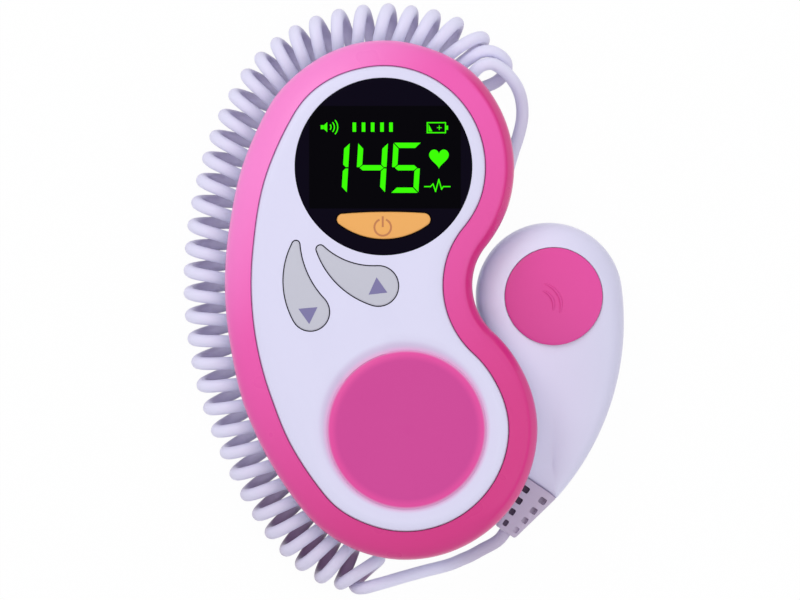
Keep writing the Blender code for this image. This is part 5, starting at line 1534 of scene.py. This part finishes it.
def cord_route():
    """Points that the cord follows: lead from the gland, curls, and lead to the probe."""
    sizes = cord_sizes()
    turns = COIL_LAST_TURN - COIL_FIRST_TURN
    steps = round(turns * sizes.curl_points)
    curls = [coil_point(COIL_FIRST_TURN + turns * i / steps) for i in range(steps + 1)]
    leave = Vector(sizes.gland_face)
    axis = tail_axis()
    outer, inner = tail_corners()
    relief_face = Vector((*((outer + inner) / 2), probe().split)) + axis * (probe().relief_length - SEAM)
    main = [leave, leave + Vector((0.6 * sizes.diameter, 0, 0))] + [Vector(row) for row in MAIN_LEAD_ROUTE]
    tail = [Vector(row) for row in LAST_CURL_ROUTE + PROBE_LEAD_ROUTE]
    tail += [relief_face + axis * (sizes.diameter / 2), relief_face + axis * (GAP / 10)]
    return main + curls + tail


def cord_shade_tone(point):
    """Tone of the cord at a point, one for its full colour: painted shade for the curls' low strands, most of
    all at the lower left, and for the lead as it nears the relief.
    """
    among = smooth_between(CORD_SHADE_RUN, point.xy.dot(CORD_SHADE_DIRECTION))
    low = 1 - smooth_between(CORD_SHADE_LEVELS, point.z)
    depth = max(LOW_SHADE * low, among * (TOP_SHADE + (1 - TOP_SHADE) * low))
    if point.y < 0:
        depth *= 1 - smooth((point.x - LEAD_START) / (2 * cord_sizes().diameter))
        depth += END_SHADE * smooth_between(END_SHADE_REACH, point.x)
    return 1 - depth


def paint(piece, name, tone_at):
    """A value for each vertex, which the piece's material reads by name."""
    layer = piece.data.attributes.new(name, "FLOAT", "POINT")
    for vert, value in zip(piece.data.vertices, layer.data):
        value.value = tone_at(vert.co)


def nearest_index(points):
    """A function that gives the index of the nearest of some points, and how far it is."""
    tree = KDTree(len(points))
    for index, point in enumerate(points):
        tree.insert(point, index)
    tree.balance()
    return lambda where: tree.find(where)[1:]


def cord_material():
    """Soft vinyl: lilac, with painted shade, deeper and more purple, on the low strands of the curls."""
    shades = colours()
    material, tree, shader = new_material("cord_vinyl", Specular_IOR_Level=0.25)
    # Painted shade, read from the cord's vertices.
    tone = add_node(tree, "ShaderNodeAttribute", {"attribute_name": "cord_shade_tone"})
    mixed = blend_colours(tree, tone.outputs["Fac"], opaque(shades.cord_painted_shade), opaque(shades.cord))
    add_skin(tree, shader, mixed, (0.36, 0.46), grain=1800.0, bump=0.1)
    return material


def make_cord():
    """The gland, and the cord, which is a round tube along its route."""
    gland = make_gland()
    sizes = cord_sizes()
    path = even_points(cord_route(), LEAD_STEP)
    tones = [cord_shade_tone(point) for point in path]
    path = [point + PLAN_SHIFT for point in path]
    select_only()
    line = bpy.data.curves.new("cord", "CURVE")
    line.dimensions = "3D"
    line.bevel_depth = sizes.diameter / 2
    line.bevel_resolution = 6
    line.use_fill_caps = True
    spline = line.splines.new("POLY")
    spline.points.add(len(path) - 1)
    for point, where in zip(spline.points, path):
        point.co = (*where, 1.0)
    cord = bpy.data.objects.new("cord", line)
    bpy.context.scene.collection.objects.link(cord)
    select_only(cord)
    bpy.ops.object.convert(target="MESH")
    cord = bpy.context.object
    bpy.ops.object.mode_set(mode="EDIT")
    bpy.ops.mesh.select_all(action="SELECT")
    bpy.ops.mesh.remove_doubles(threshold=MERGE)
    face_outwards()
    bpy.ops.object.shade_smooth_by_angle(angle=math.radians(50))
    cord.data.materials.clear()
    cord.data.materials.append(cord_material())
    nearest = nearest_index(path)
    paint(cord, "cord_shade_tone", lambda where: tones[nearest(where)[0]])
    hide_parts("cord_lead_main", "cord_coil", "cord_lead_probe")
    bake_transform(cord)


# Nodes of the frame that stay as they are, with finishes of their own

BOARDS = ("main_board", "probe_board")
CHIPS = ("processor_chip", "amplifier_chip", "cord_connector", "power_switch", "volume_down_switch",
         "volume_up_switch", "display_module", "speaker_magnet", "crystal_backing")
STEELS = (*CASE_SCREW_NODES, *PROBE_SCREW_NODES, "battery_contact_top", "battery_contact_bottom",
          "speaker_frame")
CELLS = ("battery_cell_1", "battery_cell_2")
CRYSTALS = ("transmit_crystal", "receive_crystal")


def board_material():
    """Green solder mask over a fine web of tracks."""
    material, tree, shader = new_material("board_green", Specular_IOR_Level=0.5)
    where = tree.nodes.new("ShaderNodeTexCoord").outputs["Object"]
    web = add_node(tree, "ShaderNodeTexVoronoi", {"feature": "DISTANCE_TO_EDGE"}, Vector=where, Scale=420.0)
    track = add_node(tree, "ShaderNodeMapRange", Value=web.outputs["Distance"], From_Min=0.04, From_Max=0.07)
    mixed = blend_colours(tree, track.outputs["Result"], (0.03, 0.30, 0.10, 1), (0.01, 0.14, 0.05, 1))
    add_skin(tree, shader, mixed, (0.25, 0.35))
    return material


def steel_material():
    """Brushed steel with fine scratches."""
    material, tree, shader = new_material("brushed_steel", Metallic=1.0)
    where = tree.nodes.new("ShaderNodeTexCoord").outputs["Object"]
    stretch = add_node(tree, "ShaderNodeMapping", Vector=where, Scale=(1.0, 14.0, 1.0))
    lines = add_node(tree, "ShaderNodeTexNoise", Vector=stretch.outputs["Vector"], Scale=1500.0, Detail=3.0)
    mixed = blend_colours(tree, lines.outputs["Fac"], (0.46, 0.46, 0.48, 1), (0.66, 0.66, 0.68, 1))
    gloss = add_node(tree, "ShaderNodeMapRange", Value=lines.outputs["Fac"], To_Min=0.22, To_Max=0.42)
    tree.links.new(mixed, shader.inputs["Base Color"])
    tree.links.new(gloss.outputs["Result"], shader.inputs["Roughness"])
    return material


def cell_material():
    """Dark blue foil sleeve, a little brighter towards its upper end."""
    middle, size = box_of(*CELLS)
    material, tree, shader = new_material("cell_sleeve", Metallic=0.3)
    sleeve = tone_sweep(tree, (0.02, 0.06, 0.26, 1), (0.05, 0.12, 0.40, 1), (0, 1, 0),
                        (middle.y - size.y / 2, middle.y + size.y / 2), 0.5)
    add_skin(tree, shader, sleeve, (0.22, 0.3), bump=0.03)
    return material


def give_node_material(nodes, material):
    for name in nodes:
        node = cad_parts[name]
        node.data.materials.clear()
        node.data.materials.append(material)


def finish_inner_nodes():
    dark = swept_plastic("moulded_black", (0.02, 0.02, 0.022), (0.035, 0.035, 0.038), clouds=0.6,
                         gloss=(0.4, 0.55))
    give_node_material(BOARDS, board_material())
    give_node_material(CHIPS, dark)
    give_node_material(STEELS, steel_material())
    give_node_material(CELLS, cell_material())
    paper = swept_plastic("cone_paper", (0.07, 0.06, 0.055), (0.12, 0.11, 0.10), clouds=1.0,
                          gloss=(0.8, 0.95), specular=0.1)
    give_node_material(("speaker_cone",), paper)
    ceramic = swept_plastic("crystal_ceramic", (0.74, 0.70, 0.62), (0.66, 0.62, 0.54), clouds=0.8,
                            gloss=(0.5, 0.65))
    give_node_material(CRYSTALS, ceramic)
    grey = swept_plastic("window_grey", (0.52, 0.52, 0.57), (0.46, 0.46, 0.52), clouds=0.4,
                         gloss=(0.25, 0.35))
    give_node_material(("acoustic_window",), grey)


# Stage

CAMERA_HEIGHT = 4.825
CAMERA_PLACE = (-0.00666, -0.000375)
CAMERA_LENS = 800.0
FLOOR_SIZE = 8.0
FLOOR_GLOW_SHARE = 0.97
KEY_LIGHT = ((-0.55, 0.60, 0.95), 0.7)
FILL_LIGHT = ((0.7, -0.2, 0.8), 0.6)
TOP_LIGHT = ((0.15, -0.10, 1.2), 0.6)


def see_white(tree):
    """One for rays from the camera, mirrors and glass, and nothing for the rest."""
    rays = tree.nodes.new("ShaderNodeLightPath").outputs
    both = add_math(tree, "MAXIMUM", rays["Is Camera Ray"], rays["Is Glossy Ray"])
    return add_math(tree, "MAXIMUM", both, rays["Is Transmission Ray"])


def mix_shaders(tree, share, first, second, output):
    """Mixes two nodes' shaders by a share, and puts the mix out."""
    feeds = (share, first.outputs[0], second.outputs[0])
    mix = add_node(tree, "ShaderNodeMixShader", feeds=feeds)
    tree.links.new(mix.outputs[0], tree.nodes[output].inputs["Surface"])


def make_floor():
    select_only()
    bpy.ops.mesh.primitive_plane_add(size=FLOOR_SIZE, location=(0, 0, -GAP / 2))
    floor = bpy.context.object
    floor.name = "floor"
    material, tree, shader = new_material("floor_white", Roughness=0.9, Specular_IOR_Level=0.0)
    noise = add_node(tree, "ShaderNodeTexNoise", Scale=3.0)
    mixed = blend_colours(tree, noise.outputs["Fac"], (0.90, 0.90, 0.91, 1), (0.92, 0.92, 0.93, 1))
    tree.links.new(mixed, shader.inputs["Base Color"])
    glow = add_node(tree, "ShaderNodeEmission", Color=(1, 1, 1, 1), Strength=1.0)
    amount = add_math(tree, "MULTIPLY", see_white(tree), FLOOR_GLOW_SHARE)
    mix_shaders(tree, amount, shader, glow, "Material Output")
    floor.data.materials.append(material)


def make_world(ambient):
    world = bpy.data.worlds.new("studio")
    bpy.context.scene.world = world
    world.use_nodes = True
    tree = world.node_tree
    soft = tree.nodes["Background"]
    soft.inputs["Color"].default_value = (0.97, 0.97, 1.0, 1.0)
    soft.inputs["Strength"].default_value = ambient
    bright = add_node(tree, "ShaderNodeBackground", Color=(1, 1, 1, 1), Strength=1.0)
    mix_shaders(tree, see_white(tree), soft, bright, "World Output")


def add_area_light(name, where, size, power):
    light = bpy.data.lights.new(name, "AREA")
    light.shape = "DISK"
    light.size = size
    light.energy = power
    lamp = bpy.data.objects.new(name, light)
    bpy.context.scene.collection.objects.link(lamp)
    lamp.location = where
    lamp.rotation_euler = (-Vector(where)).to_track_quat("-Z", "Y").to_euler()
    return lamp


def make_camera():
    data = bpy.data.cameras.new("camera")
    data.lens = CAMERA_LENS
    data.clip_start = 1.0
    data.clip_end = 50.0
    camera = bpy.data.objects.new("camera", data)
    bpy.context.scene.collection.objects.link(camera)
    camera.location = (*CAMERA_PLACE, CAMERA_HEIGHT)
    bpy.context.scene.camera = camera


# Operators, one for each piece or group of like pieces

class MONITOR_OT_stage(bpy.types.Operator):
    """Camera over the middle, soft light from the upper left and a white floor"""
    bl_idname = "monitor.stage"
    bl_label = "Stage"
    bl_options = {"REGISTER", "UNDO"}

    ambient: FloatProperty(name="Ambient", description="Strength of the soft light from all sides",
                           default=0.66, min=0.0)
    key: FloatProperty(name="Key light", description="Power of the large lamp at the upper left",
                       default=3.6, min=0.0, unit="POWER")
    fill: FloatProperty(name="Fill light", description="Power of the lamp at the right",
                        default=0.9, min=0.0, unit="POWER")
    top: FloatProperty(name="Top light", description="Power of the lamp overhead",
                       default=2.0, min=0.0, unit="POWER")

    def execute(self, context):
        context.scene.view_settings.view_transform = "Standard"
        make_camera()
        make_world(self.ambient)
        make_floor()
        add_area_light("key_light", *KEY_LIGHT, self.key)
        add_area_light("fill_light", *FILL_LIGHT, self.fill)
        overhead = add_area_light("top_light", *TOP_LIGHT, self.top)
        overhead.visible_glossy = False
        return {"FINISHED"}


class MONITOR_OT_cord(bpy.types.Operator):
    """Curly cord from the unit's gland to the probe's relief, and the gland"""
    bl_idname = "monitor.cord"
    bl_label = "Curly cord"
    bl_options = {"REGISTER", "UNDO"}

    def execute(self, context):
        make_cord()
        return {"FINISHED"}


class MONITOR_OT_rear_case(bpy.types.Operator):
    """Rear tray with its cord groove, and the battery door"""
    bl_idname = "monitor.rear_case"
    bl_label = "Rear case and door"
    bl_options = {"REGISTER", "UNDO"}

    def execute(self, context):
        make_rear_case()
        make_door()
        return {"FINISHED"}


class MONITOR_OT_rim(bpy.types.Operator):
    """Pink rim round the face"""
    bl_idname = "monitor.rim"
    bl_label = "Pink rim"
    bl_options = {"REGISTER", "UNDO"}

    def execute(self, context):
        make_rim()
        return {"FINISHED"}


class MONITOR_OT_face(bpy.types.Operator):
    """White face plate with its openings, and the palm disc"""
    bl_idname = "monitor.face"
    bl_label = "Face plate and palm disc"
    bl_options = {"REGISTER", "UNDO"}

    def execute(self, context):
        make_plate()
        make_palm_disc()
        return {"FINISHED"}


class MONITOR_OT_window(bpy.types.Operator):
    """Black window and the lit marks that show in it"""
    bl_idname = "monitor.window"
    bl_label = "Window and lit marks"
    bl_options = {"REGISTER", "UNDO"}

    def execute(self, context):
        make_lens()
        make_screen_marks()
        return {"FINISHED"}


class MONITOR_OT_keys(bpy.types.Operator):
    """Power key and the two volume keys with their signs"""
    bl_idname = "monitor.keys"
    bl_label = "Keys"
    bl_options = {"REGISTER", "UNDO"}

    def execute(self, context):
        make_keys()
        return {"FINISHED"}


class MONITOR_OT_probe(bpy.types.Operator):
    """Probe's two shells, its disc with embossed arcs, and its strain relief"""
    bl_idname = "monitor.probe"
    bl_label = "Probe"
    bl_options = {"REGISTER", "UNDO"}

    def execute(self, context):
        make_probe_shells()
        make_probe_disc()
        make_relief()
        return {"FINISHED"}


class MONITOR_OT_inside(bpy.types.Operator):
    """Finishes of the boards, chips, cells, contacts, screws and transducer"""
    bl_idname = "monitor.inside"
    bl_label = "Inner pieces"
    bl_options = {"REGISTER", "UNDO"}

    def execute(self, context):
        finish_inner_nodes()
        return {"FINISHED"}


OPERATORS = (MONITOR_OT_stage, MONITOR_OT_cord, MONITOR_OT_rear_case, MONITOR_OT_rim, MONITOR_OT_face,
             MONITOR_OT_window, MONITOR_OT_keys, MONITOR_OT_probe, MONITOR_OT_inside)


class MONITOR_PT_pieces(bpy.types.Panel):
    """Lists the pieces of the monitor and their sizes"""
    bl_idname = "MONITOR_PT_pieces"
    bl_label = "Fetal doppler monitor"
    bl_space_type = "VIEW_3D"
    bl_region_type = "UI"
    bl_category = "Monitor"

    def draw(self, context):
        column = self.layout.column()
        for operator in OPERATORS:
            column.operator(operator.bl_idname)
        for name in SETTINGS:
            group = getattr(context.scene, name)
            for key in group.bl_rna.properties.keys():
                if key not in ("rna_type", "name"):
                    column.prop(group, key)


CLASSES = (*SETTINGS.values(), *OPERATORS, MONITOR_PT_pieces)


def register():
    for item in CLASSES:
        bpy.utils.register_class(item)
    for name, group in SETTINGS.items():
        setattr(bpy.types.Scene, name, PointerProperty(type=group))


def unregister():
    for name in SETTINGS:
        delattr(bpy.types.Scene, name)
    for item in reversed(CLASSES):
        bpy.utils.unregister_class(item)


def main():
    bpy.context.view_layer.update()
    register()
    bpy.ops.monitor.stage()
    bpy.ops.monitor.cord()
    bpy.ops.monitor.rear_case()
    bpy.ops.monitor.rim()
    bpy.ops.monitor.face()
    bpy.ops.monitor.window()
    bpy.ops.monitor.keys()
    bpy.ops.monitor.probe()
    bpy.ops.monitor.inside()
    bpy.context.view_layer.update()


if __name__ == "__main__":
    main()
